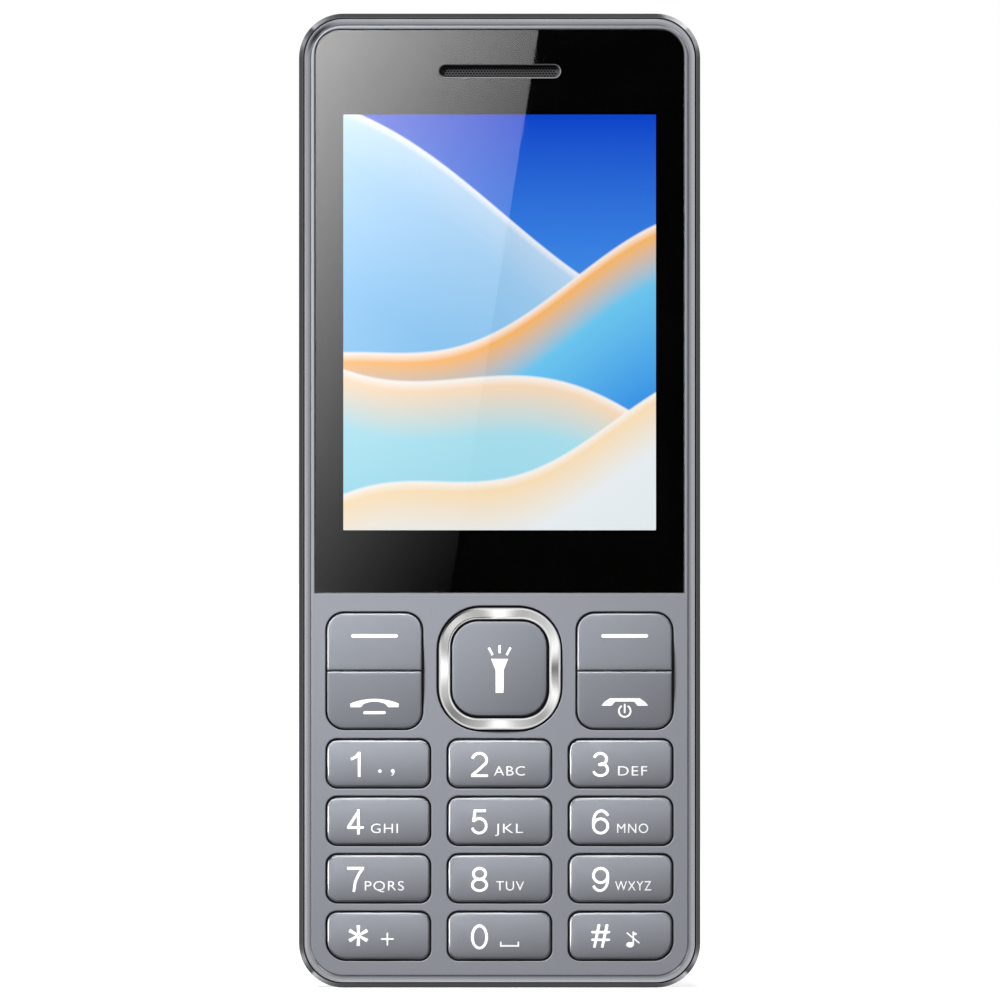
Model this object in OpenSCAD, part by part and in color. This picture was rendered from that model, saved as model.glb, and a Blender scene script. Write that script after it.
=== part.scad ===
// Bar feature phone with a keypad, standing on its bottom end with the screen facing -Y.
// Each piece is drawn lying on its back: x across, y up the height, z out of the front.
// upright() then stands it up. The origin is the middle of the bottom end.

/* [Body] */
// Width across the side band
body_w = 55; // [49:0.5:62]
// Height along the side band
body_h = 133.5; // [118:0.5:150]
// Thickness from the front plate to the back of the battery cover
body_t = 12.5; // [12:0.1:14.5]
// Corner radius of the side band, seen from the front
corner_r = 6.1; // [5.6:0.1:8]
// Clearance between pieces that seat on each other
fit = 0.05; // [0.03:0.01:0.08]
// Free room round a piece that drops into a pocket
room = 0.3; // [0.2:0.05:0.4]

/* [Side band] */
// Thickness of the band, as it shows from the front
band_t = 0.72; // [0.5:0.02:0.9]
// Depth of the band from front to back
band_depth = 8.4; // [8:0.1:8.8]
// Chamfer on the front edge of the band
band_chamfer = 0.35; // [0.1:0.05:0.45]

/* [Front housing] */
// Width of the sloping bevel round the front plate
bevel_w = 0.99; // [0.6:0.05:1.3]
// Drop from the front plate to the front edge of the band
bevel_drop = 1; // [0.7:0.05:1.2]
// Step from the front plate down to the top of the bevel
plate_step = 0.2; // [0.1:0.05:0.4]
// Border of the front plate round the window
border_w = 0.48; // [0.3:0.02:0.8]
// Thickness of the front plate
plate_t = 1.2; // [1:0.05:1.4]
// Thickness of the housing's side walls
wall_t = 1.4; // [1:0.1:1.5]
// Thickness of the shelf that carries the window
shelf_t = 0.6; // [0.4:0.05:0.7]

/* [Window and screen] */
// Gap of bare plate between the window and the function keys
window_gap = 2.52; // [2:0.1:4]
// Radius of the window's top corners
window_r = 3.5; // [2.5:0.1:4]
// Thickness of the window
window_t = 1; // [0.8:0.05:1.1]
// Depth of the window's face below the front plate
window_recess = 0.1; // [0.05:0.05:0.2]
// Thickness of the tape that holds the window
tape_t = 0.3; // [0.2:0.05:0.35]
// Width of the lit screen
screen_w = 42.83; // [38:0.25:48]
// Height of the lit screen
screen_h = 56.95; // [50:0.25:64]
// Distance from the window's top edge to the lit screen
screen_drop = 11.67; // [11.5:0.1:12.5]
// Distance from the lit screen to the window's lower edge
screen_foot = 8.63; // [8:0.1:10]
// Distance from the lit screen to the window's side edges
screen_side = 3.895; // [3.5:0.1:5]
// Unlit margin of the panel at its sides and top
panel_border = 1.1; // [0.8:0.1:1.2]
// Sheet thickness of the tray behind the panel
tray_t = 0.3; // [0.2:0.05:0.4]

/* [Earpiece] */
// Length of the earpiece slot
ear_w = 16.5; // [12:0.5:18]
// Width of the earpiece slot
ear_h = 1.65; // [1.4:0.05:2]
// Distance from the window's top edge to the middle of the slot
ear_drop = 5.75; // [5.2:0.05:5.9]
// Depth of the mesh below the face of the window
ear_recess = 0.55; // [0.3:0.05:0.7]

/* [Number keys] */
// Width of a number key's opening
number_w = 14.5; // [13.5:0.1:15]
// Height of a number key's opening
number_h = 6.92; // [6.5:0.05:7.1]
// Corner radius of a number key's opening
number_r = 1.6; // [1:0.1:2]
// Radius of the outer corner on the two corner keys
corner_key_r = 2.8; // [2:0.1:3.2]
// Distance between the columns of number keys
column_pitch = 16.59; // [16:0.1:16.9]
// Distance between the rows of number keys
row_pitch = 7.87; // [7.7:0.05:8.1]
// Distance from the bottom end to the lowest openings
keypad_foot = 3.66; // [3.2:0.05:4.5]

/* [Function keys] */
// Width of a function block's opening
function_w = 13.44; // [12.5:0.1:13.8]
// Height of a function block's opening
function_h = 16.26; // [15.5:0.1:16.8]
// Corner radius of a function block's opening
function_r = 2.56; // [1.5:0.1:3]
// Distance from the middle of the phone to a function block
function_x = 17.13; // [17:0.05:17.3]
// Gap between the top number row and the function blocks
function_gap = 1.09; // [0.9:0.05:1.6]
// Gap between the two keys of a function block
function_split = 0.15; // [0.1:0.05:0.3]

/* [Navigation keys] */
// Width of the navigation ring's opening
nav_w = 17.22; // [16.5:0.1:17.5]
// Corner radius of the navigation ring's opening
nav_r = 6; // [5:0.1:7]
// Width of the hole in the navigation ring
nav_hole_w = 13.55; // [12.5:0.1:14]
// Corner radius of the hole in the navigation ring
nav_hole_r = 3.8; // [3:0.1:5]
// Height of the ring's middle above the middle of the function blocks
nav_lift = 0.32; // [0.3:0.02:0.6]
// Tilt of the navigation ring to each side, in degrees
nav_tilt = 2; // [1:0.25:2]
// Gap round the centre key
centre_gap = 0.33; // [0.25:0.01:0.45]

/* [Key motion] */
// Height of the keys above the front plate
key_rise = 0.5; // [0.4:0.05:0.7]
// Gap between a key and its opening
key_gap = 0.25; // [0.2:0.01:0.3]
// Travel of a key
key_travel = 0.35; // [0.25:0.01:0.4]
// Height of the crown on a key
key_crown = 0.25; // [0.1:0.05:0.35]
// Thickness of a key's flange under the plate
flange_t = 0.5; // [0.4:0.05:0.6]
// Reach of a key's flange beyond the key
flange_w = 0.5; // [0.4:0.05:0.55]
// Radius of the plunger under a key
stem_r = 1.2; // [0.8:0.1:1.5]

/* [Keypad layers] */
// Thickness of the rubber mat
mat_t = 0.4; // [0.3:0.05:0.5]
// Height of the feet under the rubber mat
mat_foot = 0.9; // [0.85:0.05:1]
// Thickness of the film round the snap domes
film_t = 0.1; // [0.08:0.01:0.15]
// Radius of a snap dome
dome_r = 2; // [1.5:0.1:2.2]
// Height of a snap dome
dome_h = 0.3; // [0.2:0.02:0.32]
// Length of a keypad light
led_w = 1.6; // [1:0.1:2]
// Height of a keypad light
led_t = 0.5; // [0.3:0.05:0.6]

/* [Board] */
// Thickness of the main board
board_t = 1; // [0.8:0.1:1.1]
// Gap between the main board and the floor of the battery bay
board_gap = 0.5; // [0.4:0.05:0.6]
// Height of the shield cans
can_t = 1.6; // [1.2:0.1:2]
// Sheet thickness of the shield cans
can_sheet = 0.2; // [0.15:0.05:0.3]

/* [Battery and cover] */
// Width of the battery
battery_w = 34; // [32:0.5:36]
// Length of the battery
battery_h = 53; // [47:0.5:60]
// Distance from the bottom end to the battery bay
bay_foot = 20.3; // [19.5:0.1:20.8]
// Height of the space above the battery bay
upper_h = 59.6; // [56:0.5:64]
// Free room between the battery and the faces above and below it
battery_gap = 0.2; // [0.1:0.05:0.3]
// Thickness of the bay's walls
bay_wall_t = 1; // [0.8:0.1:1.2]
// Thickness of the bay's floor
bay_floor_t = 0.7; // [0.6:0.05:0.8]
// Thickness of the rear deck round the bay
deck_t = 1; // [0.8:0.1:1.2]
// Gap between the rear deck and the battery cover
deck_gap = 0.4; // [0.3:0.05:0.6]
// Thickness of the rear housing's lower side walls
rear_wall_t = 1; // [0.8:0.1:1.1]
// Thickness of the cover's back
cover_t = 1.1; // [1:0.05:1.3]
// Thickness of the cover's side walls
cover_wall_t = 1.5; // [1.3:0.1:1.7]
// Radius of the cover's rear edges
cover_edge_r = 2.7; // [2:0.1:2.8]
// Length of a cover hook
hook_w = 4; // [3:0.5:6]
// Thickness of a cover hook
hook_t = 0.6; // [0.5:0.05:0.7]

/* [Screws] */
// Radius of a screw's shank
screw_r = 0.65; // [0.5:0.05:0.8]
// Radius of a screw's head
screw_head_r = 1.3; // [1.1:0.05:1.4]
// Thickness of a screw's head
screw_head_t = 0.8; // [0.6:0.05:1]
// Distance from the body's side to a screw's axis
screw_inset = 3.9; // [3.8:0.05:4.2]

/* [Camera and torch] */
// Distance from the top end to the camera and the torch
camera_drop = 15.5; // [15:0.1:16]
// Distance between the camera and the torch
camera_pitch = 12; // [11:0.5:13]
// Width of the raised island round the camera and the torch
island_h = 10; // [9:0.5:11]
// Radius of the camera's window
camera_r = 3.4; // [3:0.1:3.8]
// Radius of the torch's lens
torch_r = 1.95; // [1.5:0.05:2.2]

/* [Loudspeaker] */
// Width of the loudspeaker
speaker_w = 20; // [16:0.5:21]
// Height of the loudspeaker
speaker_h = 14; // [12:0.5:15]
// Thickness of the loudspeaker
speaker_t = 3; // [2.5:0.1:3.3]
// Number of sound slots
slot_count = 5; // [3:1:5]
// Distance between the sound slots
slot_pitch = 2.4; // [2:0.1:2.6]
// Width of a sound slot
slot_w = 1.2; // [0.8:0.1:1.4]

/* [Sockets] */
// Radius of the audio socket's bore
jack_r = 1.8; // [1.75:0.01:1.85]
// Depth of the audio socket's bore
jack_depth = 13.5; // [12:0.5:14]
// Distance from the middle of the phone to the audio socket
jack_x = 15; // [14.5:0.1:15.5]
// Width of the charging socket
usb_w = 7.5; // [7:0.1:9]
// Height of the charging socket
usb_t = 2.6; // [2.4:0.05:2.9]
// Depth of the charging socket
usb_depth = 5.6; // [5:0.1:7]
// Radius of the microphone hole
mic_hole_r = 0.5; // [0.4:0.05:0.7]
// Distance from the middle of the phone to the microphone
mic_x = 11; // [10:0.5:13]

/* [Vibration motor] */
// Radius of the motor's can
motor_r = 2; // [1.6:0.1:2.1]
// Length of the motor's can
motor_l = 8; // [7:0.25:9]
// Radius of the eccentric weight
weight_r = 1.9; // [1.5:0.1:2]
// Length of the eccentric weight
weight_l = 3.5; // [3:0.25:4]
// Radius of the motor's shaft
shaft_r = 0.4; // [0.3:0.05:0.5]

/* [Hidden] */
$fn = 64;
// Overlap that makes a cut run clear through a face
cut = 0.5;
// Thickness of the layers that a slope is stretched between
sliver = 0.01;

// Stretches that make the stacks of pieces fill the body's height and width
window_inset = band_t + bevel_w + border_w;
front_stack = keypad_foot + 3 * row_pitch + number_h + function_gap + function_h + window_gap
    + screen_foot + screen_h + screen_drop;
front_stretch = (body_h - window_inset) / front_stack;
side_stretch = (body_w - 2 * window_inset) / (screen_w + 2 * screen_side);
rear_stretch = body_h / (bay_foot + battery_h + 2 * room + upper_h);
nav_stretch = min(front_stretch, side_stretch);

// Sizes after their stretch
keypad_base = keypad_foot * front_stretch;
number_tall = number_h * front_stretch;
number_wide = number_w * side_stretch;
row_step = row_pitch * front_stretch;
column_step = column_pitch * side_stretch;
function_tall = function_h * front_stretch;
function_wide = function_w * side_stretch;
function_off = function_x * side_stretch;
function_space = function_gap * front_stretch;
window_space = window_gap * front_stretch;
nav_size = nav_w * nav_stretch;
nav_round = nav_r * nav_stretch;
nav_hole_size = nav_hole_w * nav_stretch;
nav_hole_round = nav_hole_r * nav_stretch;
nav_raise = nav_lift * front_stretch;
lit_w = screen_w * side_stretch;
lit_h = screen_h * front_stretch;
lit_drop = screen_drop * front_stretch;
lit_foot = screen_foot * front_stretch;
ear_below = ear_drop * front_stretch;
cell_h = battery_h * rear_stretch;
bay_base = bay_foot * rear_stretch;
speaker_tall = speaker_h * rear_stretch;
slot_step = slot_pitch * rear_stretch;
camera_below = camera_drop * rear_stretch;

// Depths, from the front plate to the back of the cover
mat_gap = 0.1;
film_gap = 0.2;
dome_gap = 0.02;
edge_land = 0.15;
hook_rise = 1.2;
hook_root = 0.2;
front_z = (body_t - key_rise) / 2;
back_z = -(body_t + key_rise) / 2;
key_top = front_z + key_rise;
plate_under = front_z - plate_t;
bevel_top = front_z - plate_step;
band_front = front_z - bevel_drop;
band_back = band_front - band_depth;
flange_top = plate_under - fit;
flange_under = flange_top - flange_t;
mat_top = flange_under - key_travel - mat_gap;
mat_under = mat_top - mat_t;
board_front = mat_under - mat_foot - film_t;
board_back = board_front - board_t;
dome_top = board_front + dome_h;
stem_end = dome_top + key_travel + dome_gap;
window_front = front_z - window_recess;
window_under = window_front - window_t;
shelf_top = window_under - tape_t;
shelf_under = shelf_top - shelf_t;
parting_z = board_back - board_gap;
bay_floor_back = parting_z - bay_floor_t;
cover_inner = back_z + cover_t;
deck_back = cover_inner + deck_gap;
deck_front = deck_back + deck_t;
battery_front = bay_floor_back - battery_gap;
battery_back = cover_inner + battery_gap;
edge_r = min(cover_edge_r, band_back - fit - back_z - edge_land);
hook_end = band_back + hook_rise;

// Insets from the body's outline
housing_inset = band_t + fit;
cavity_inset = housing_inset + wall_t;
plate_inset = band_t + bevel_w;
step_inset = cover_wall_t + 2 * fit;
rear_cavity_inset = step_inset + rear_wall_t;
board_inset = max(cavity_inset, rear_cavity_inset) + 2 * fit;

// Heights of the keypad, from the bottom end up
bottom_row_v = keypad_base + number_tall / 2;
top_row_v = bottom_row_v + 3 * row_step;
function_v = top_row_v + number_tall / 2 + function_space + function_tall / 2;
nav_v = function_v + nav_raise;
window_bottom = function_v + function_tall / 2 + window_space;
keypad_margin = 1;
keypad_top = window_bottom - keypad_margin;

// Heights of the window and the screen
window_top = body_h - window_inset;
window_w = body_w - 2 * window_inset;
screen_v = window_top - lit_drop - lit_h / 2;
panel_w = lit_w + 2 * panel_border;
panel_foot = 0.4 * lit_foot;
panel_h = lit_h + panel_border + panel_foot;
panel_v = screen_v + (panel_border - panel_foot) / 2;
tray_w = panel_w + 2 * (tray_t + fit);
tray_h = panel_h + 2 * (tray_t + fit);
tray_bottom = panel_v - tray_h / 2;
panel_back = board_front + tray_t;
panel_front = shelf_top - 2 * fit;
tray_drop = 0.2;
ear_v = window_top - ear_below;
mesh_rim = 1.4;
mesh_w = ear_w + 2 * mesh_rim;
mesh_h = ear_h + 2 * mesh_rim;
ear_hole_rim = 1.25;
ear_hole_w = ear_w + 2 * ear_hole_rim;
ear_hole_h = ear_h + 2 * ear_hole_rim;
receiver_w = 15;
receiver_h = 6.4;
gasket_w = receiver_w - 1;
gasket_h = ear_hole_h - room;
gasket_wall = 0.7;

// Navigation ring: its flange keeps clear of the plate when it tilts to a corner
tilt_gap = 0.06;
ring_w = nav_size - 2 * key_gap;
ring_r = nav_round - key_gap;
ring_flange_w = ring_w + 2 * flange_w;
ring_flange_r = ring_r + flange_w;
ring_flange_t = 0.45;
ring_swing = corner_reach(ring_flange_w, ring_flange_r) * sin(nav_tilt);
ring_flange_top = plate_under - ring_swing - tilt_gap;
ring_flange_under = ring_flange_top - ring_flange_t;
ring_chamfer = 0.35;
ring_lip_w = 0.7;
ring_lip_rise = 0.4;
ring_lip_under = plate_under + ring_lip_rise;
ring_socket_w = nav_hole_size + 2 * ring_lip_w;
ring_socket_r = nav_hole_round + ring_lip_w;
ring_wall_mid = (ring_socket_w + ring_flange_w) / 4;

// Rocker plate: stands on two feet at its sides and carries the ring on two lugs
nub_r = 0.7;
lug_r = 0.45;
lug_reach = ring_wall_mid;
nav_up_reach = 0.4 * nav_size;
nav_side_reach = ring_wall_mid - nub_r / 2;
rocker_foot_r = 0.6;
rocker_foot_x = nav_up_reach / 2;
rocker_w = 2 * (rocker_foot_x + rocker_foot_r + room);
rocker_h = 2 * (lug_reach + lug_r);
rocker_t = 0.45;
rocker_top = ring_flange_under - rocker_w / 2 * sin(nav_tilt) - tilt_gap;
rocker_under = rocker_top - rocker_t;
rocker_nub_end = dome_top + (nav_up_reach + nub_r) * sin(nav_tilt) + tilt_gap;
ring_nub_end = dome_top + (nav_side_reach + nub_r) * sin(nav_tilt) + tilt_gap;
nav_well_w = ring_flange_w + 4 * room;

// Centre key: its flange lies under the ring's lip
centre_w = nav_hole_size - 2 * centre_gap;
centre_r = nav_hole_round - centre_gap;
centre_drop = 0.1;
centre_top = key_top - centre_drop;
centre_flange_w = nav_hole_size + ring_lip_w;
centre_flange_r = nav_hole_round + ring_lip_w / 2;
centre_flange_t = 0.4;
centre_swing = corner_reach(centre_flange_w, centre_flange_r) * sin(nav_tilt);
centre_flange_top = ring_lip_under - centre_swing - tilt_gap;
centre_flange_under = centre_flange_top - centre_flange_t;

// Battery bay
bay_w = battery_w + 2 * room;
bay_h = cell_h + 2 * room;
bay_v = bay_base + bay_h / 2;
bay_top = bay_base + bay_h;
sim_w = 27;
sim_h = 0.3 * bay_h;
card_w = 14.5;
card_h = 0.24 * bay_h;
socket_t = parting_z - bay_floor_back + board_gap - 2 * fit;
socket_margin = 2;
socket_gap = 1.5;
socket_v = [for (i = [0, 1]) bay_top - socket_margin - sim_h / 2 - i * (sim_h + socket_gap)];
card_v = socket_v[1] - sim_h / 2 - socket_gap - card_h / 2;
battery_r = 1.5;
contact_w = 12;
contact_h = 4;
contact_pitch = 3;
contact_lift = 1;
contact_z = (battery_front + battery_back) / 2 + contact_lift;
contact_depth = 1.4;
contact_back = contact_z - contact_depth;
blade_w = 1;
blade_h = 1.2;
blade_reach = 0.2;
rib_w = 1;
rib_inset = 1.5;

// Screws: bosses stand off the side walls
screw_x = body_w / 2 - screw_inset;
screw_foot = 12;
screw_drop = 7.5;
screw_v = [screw_foot, window_bottom + keypad_margin, body_h - screw_drop];
screw_grip = 2.4;
screw_tip_gap = 0.2;
screw_slot_l = 1.6;
screw_slot_w = 0.35;
boss_r = 1.9;
boss_cap = 0.3;
boss_gap = 0.2;
boss_top = mat_under - boss_gap;
column_r = 2.1;
screw_seat = parting_z - screw_grip;
post_r = 1;
post_inset = 3.2;
post_below = 11;
post_above = 4.5;
post_x = screw_x - post_inset;
post_v = [bay_base - post_below, bay_top + post_above];
mat_r = 2;
mat_rim = 1;
mat_w = 2 * (screw_x - boss_r - room);
mat_h = keypad_top - keypad_base - room;
mat_v = (keypad_top + keypad_base + room) / 2;

// Camera, torch and loudspeaker
camera_v = body_h - camera_below;
camera_x = camera_pitch / 2;
island_w = camera_pitch + island_h;
island_recess = 0.1;
island_back = back_z + island_recess;
camera_glass_t = 0.6;
camera_rim = 0.8;
barrel_r = camera_r - camera_rim;
camera_body_w = 8;
camera_body_t = 4.2;
torch_flange_t = 0.55;
torch_flange_w = 0.6;
led_r = torch_r - room / 2;
speaker_x = 10;
speaker_rise = 22.2;
speaker_v = bay_top + speaker_rise * rear_stretch;
speaker_r = 2;
speaker_gasket_t = 0.5;
speaker_back = deck_front + speaker_gasket_t;
speaker_front = speaker_back + speaker_t;
speaker_leg_w = 1.2;
slot_length = 0.65 * speaker_w;

// Shield cans, above the battery bay
can_x = 12;
can_w = 18;
large_can_h = 18;
large_can_rise = 27.7;
small_can_h = 7.4;
small_can_rise = 34.6;

// Sockets in the band
jack_wall = 0.7;
jack_nose_r = jack_r + jack_wall;
jack_lead = 0.4;
jack_z = band_back + jack_nose_r + jack_wall;
jack_end = body_h - band_t - fit;
jack_body_w = 2 * jack_nose_r + 1;
jack_body_end = body_h - rear_cavity_inset - 2 * fit;
jack_floor = 1;
jack_back = jack_end - jack_depth - jack_floor;
usb_z = board_back - usb_t / 2;
usb_end = band_t + 2 * fit;
usb_sheet = 0.35;
usb_floor = 0.6;
usb_tongue_t = 0.6;
usb_tongue_recess = 1;
mic_r = 1.5;
mic_l = 1.5;
mic_recess = 0.5;
boot_r = 2.1;
boot_l = 4.4;
mic_z = board_back - boot_r - fit;
mic_back = rear_cavity_inset + boot_l;
mic_front = mic_back - mic_recess - mic_l;
pry_r = 5;
pry_depth = 0.6;

// Vibration motor
motor_rise = 10.2;
motor_v = bay_top + motor_rise * rear_stretch;
motor_lift = 0.4;
motor_z = deck_front + motor_r + motor_lift;
motor_x = -15;
weight_gap = 0.8;
weight_start = motor_x + motor_l / 2 + weight_gap;
shaft_start = motor_x + room;
running_gap = 0.04;
cradle_t = 1.2;
cradle_inset = 1.4;
cradle_rim = 0.8;
cradle_h = 2 * (motor_r + cradle_rim);

// Key names, in reading order
NUMBER_KEYS = ["key_1", "key_2", "key_3", "key_4", "key_5", "key_6", "key_7", "key_8", "key_9",
    "key_star", "key_0", "key_hash"];
FUNCTION_KEYS = ["left_soft_key", "call_key", "right_soft_key", "end_key"];

// Middle of number key i, counted in reading order
function number_at(i) = [(i % 3 - 1) * column_step, bottom_row_v + (3 - floor(i / 3)) * row_step];

// Corner radii of number key i, clockwise from the top left, grown by a margin
function number_radii(i, grow) = [
    number_r + grow,
    number_r + grow,
    (i == 11 ? corner_key_r : number_r) + grow,
    (i == 9 ? corner_key_r : number_r) + grow
];

// Function key i: the left pair and then the right pair, the upper key of a pair first
function function_key_h() = (function_tall - function_split) / 2 - key_gap;
function function_side(i) = i < 2 ? -1 : 1;
function function_up(i) = i % 2 == 0 ? 1 : -1;
function function_at(i) = [
    function_side(i) * function_off,
    function_v + function_up(i) * (function_split + function_key_h()) / 2
];

// How far a rounded square reaches along both of its axes together, at a corner
function corner_reach(w, r) = w - 2 * r * (1 - cos(45));

// Radius of a crown of the given height over a chord
function crown_radius(chord, height) = pow(chord / 2, 2) / (2 * height) + height / 2;

// Middles of the domes: number keys, function keys, the four ways of the ring, the centre key
function dome_places() = concat(
    [for (i = [0 : 11]) number_at(i)],
    [for (i = [0 : 3]) function_at(i)],
    [for (s = [-1, 1]) [s * nav_side_reach, nav_v]],
    [for (s = [-1, 1]) [0, nav_v + s * nav_up_reach]],
    [[0, nav_v]]
);
function led_places() = concat(
    [for (sx = [-0.5, 0.5], row = [0.5, 2.5]) [sx * column_step, bottom_row_v + row * row_step]],
    [for (sx = [-1, 1]) [sx * 0.7 * function_off, function_v]]
);
function screw_places() = [for (sx = [-1, 1], v = screw_v) [sx * screw_x, v]];
function post_places() = [for (sx = [-1, 1], v = post_v) [sx * post_x, v]];

// Side and height of each cover hook
function hook_places() = [for (sx = [-1, 1], share = [0.24, 0.53, 0.8]) [sx, share * body_h]];

// Middle and size of each shield can
function can_places() = [
    [-can_x, bay_top + large_can_rise * rear_stretch, can_w, large_can_h * rear_stretch],
    [can_x, bay_top + small_can_rise * rear_stretch, can_w, small_can_h * rear_stretch]
];

// Stands a piece that was drawn lying on its back
module upright() {
    rotate([90, 0, 0]) children();
}

// Rectangle with one corner radius
module rounded_rect(w, h, r) {
    square([w - 2 * r, h], center = true);
    square([w, h - 2 * r], center = true);
    for (sx = [-1, 1], sy = [-1, 1])
        translate([sx * (w / 2 - r), sy * (h / 2 - r)]) circle(r);
}

// Rectangle with its own radius at each corner, clockwise from the top left
module corner_rect(w, h, radii) {
    polygon([
        [-w / 2 + radii[0], h / 2], [w / 2 - radii[1], h / 2],
        [w / 2, h / 2 - radii[1]], [w / 2, -h / 2 + radii[2]],
        [w / 2 - radii[2], -h / 2], [-w / 2 + radii[3], -h / 2],
        [-w / 2, -h / 2 + radii[3]], [-w / 2, h / 2 - radii[0]]
    ]);
    translate([-w / 2 + radii[0], h / 2 - radii[0]]) circle(radii[0]);
    translate([w / 2 - radii[1], h / 2 - radii[1]]) circle(radii[1]);
    translate([w / 2 - radii[2], -h / 2 + radii[2]]) circle(radii[2]);
    translate([-w / 2 + radii[3], -h / 2 + radii[3]]) circle(radii[3]);
}

// Plate with rounded corners between two depths
module slab(at, w, h, r, z0, z1) {
    translate([at[0], at[1], z0]) linear_extrude(z1 - z0) rounded_rect(w, h, r);
}

// Plate with its own corner radii between two depths
module corner_slab(at, w, h, radii, z0, z1) {
    translate([at[0], at[1], z0]) linear_extrude(z1 - z0) corner_rect(w, h, radii);
}

// Plate with round ends between two depths
module pill(at, w, h, z0, z1) {
    translate([at[0], at[1], z0]) linear_extrude(z1 - z0) {
        square([w - h, h], center = true);
        for (sx = [-1, 1]) translate([sx * (w - h) / 2, 0]) circle(h / 2);
    }
}

// Square-edged block between two depths
module block(at, w, h, z0, z1) {
    translate([at[0] - w / 2, at[1] - h / 2, z0]) cube([w, h, z1 - z0]);
}

// Disc between two depths
module disc(at, r, z0, z1) {
    translate([at[0], at[1], z0]) cylinder(r = r, h = z1 - z0);
}

// Rod along the height, from one height to another
module rod(x, z, r, v0, v1) {
    translate([x, v0, z]) rotate([-90, 0, 0]) cylinder(r = r, h = v1 - v0);
}

// The body's outline, drawn in by an inset
module body_layer(inset, z0, z1) {
    slab([0, body_h / 2], body_w - 2 * inset, body_h - 2 * inset, corner_r - inset, z0, z1);
}

// Slope from one inset of the body's outline to another
module body_slope(inset0, inset1, z0, z1) {
    hull($fn = 40) {
        body_layer(inset0, z0, z0 + sliver, $fn = 40);
        body_layer(inset1, z1 - sliver, z1, $fn = 40);
    }
}

// Key with a crowned top, a flange under the plate and a plunger
module key_cap(at, w, h, radii, flange_radii) {
    crown = crown_radius(h, key_crown);
    intersection() {
        corner_slab(at, w, h, radii, flange_under, key_top);
        translate([at[0], at[1], key_top - crown])
            rotate([0, 90, 0]) cylinder(r = crown, h = 2 * w, center = true, $fn = 240);
    }
    corner_slab(at, w + 2 * flange_w, h + 2 * flange_w, flange_radii, flange_under, flange_top);
    disc(at, stem_r, stem_end, flange_under + cut);
}

// Cuts through the housings and the band for the two sockets and the microphone
module audio_cut(r) {
    rod(-jack_x, jack_z, r, body_h - cavity_inset - 2, body_h + cut);
}
module usb_cut(margin) {
    translate([0, -cut, usb_z]) rotate([-90, 0, 0])
        linear_extrude(cavity_inset + 1 + cut)
            rounded_rect(usb_w + 2 * margin, usb_t + 2 * margin, usb_t / 4 + margin);
}
module mic_cut(r) {
    rod(mic_x, mic_z, r, -cut, rear_cavity_inset + cut);
}

// Sound slots over the loudspeaker
module sound_slots(z0, z1) {
    for (i = [0 : slot_count - 1])
        pill([speaker_x, speaker_v + (i - (slot_count - 1) / 2) * slot_step], slot_length, slot_w, z0, z1);
}

// Front housing: front plate with its bevel, key openings, window shelf and screw bosses
module front_housing() {
    color("#9a9da5") upright() difference() {
        union() {
            difference() {
                union() {
                    body_layer(housing_inset, parting_z + fit, band_front);
                    body_slope(housing_inset, plate_inset, band_front, bevel_top);
                    body_layer(plate_inset, bevel_top - cut, front_z);
                }
                intersection() {
                    body_layer(cavity_inset, parting_z - cut, plate_under);
                    block([0, window_bottom / 2], body_w, window_bottom, parting_z - cut, plate_under);
                }
                body_layer(cavity_inset, parting_z - cut, shelf_under);
            }
            for (at = screw_places()) disc(at, boss_r, parting_z + fit, boss_top);
        }
        translate([0, (window_bottom + window_top) / 2, shelf_top])
            linear_extrude(window_recess + window_t + tape_t + cut)
                corner_rect(window_w + 2 * fit, window_top - window_bottom + 2 * fit,
                    [window_r, window_r, fit, fit]);
        block([0, panel_v], tray_w + 2 * room, tray_h + 2 * room, shelf_under - cut, shelf_top + cut);
        pill([0, ear_v], ear_hole_w, ear_hole_h, shelf_under - cut, shelf_top + cut);
        for (i = [0 : 11])
            corner_slab(number_at(i), number_wide, number_tall, number_radii(i, 0),
                plate_under - cut, front_z + cut);
        for (sx = [-1, 1])
            slab([sx * function_off, function_v], function_wide, function_tall, function_r,
                plate_under - cut, front_z + cut);
        slab([0, nav_v], nav_size, nav_size, nav_round, plate_under - cut, front_z + cut);
        for (at = screw_places()) disc(at, screw_r + fit, parting_z - cut, boss_top - boss_cap);
        audio_cut(jack_nose_r + fit);
        usb_cut(room);
    }
}

// Side band: metal ring round the housings
module side_band() {
    color("#44464b") upright() difference() {
        union() {
            body_layer(0, band_back, band_front - band_chamfer);
            body_slope(0, band_chamfer, band_front - band_chamfer, band_front);
        }
        body_layer(band_t, band_back - cut, band_front + cut);
        audio_cut(jack_r + jack_lead);
        usb_cut(room);
        mic_cut(mic_hole_r);
    }
}

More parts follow.
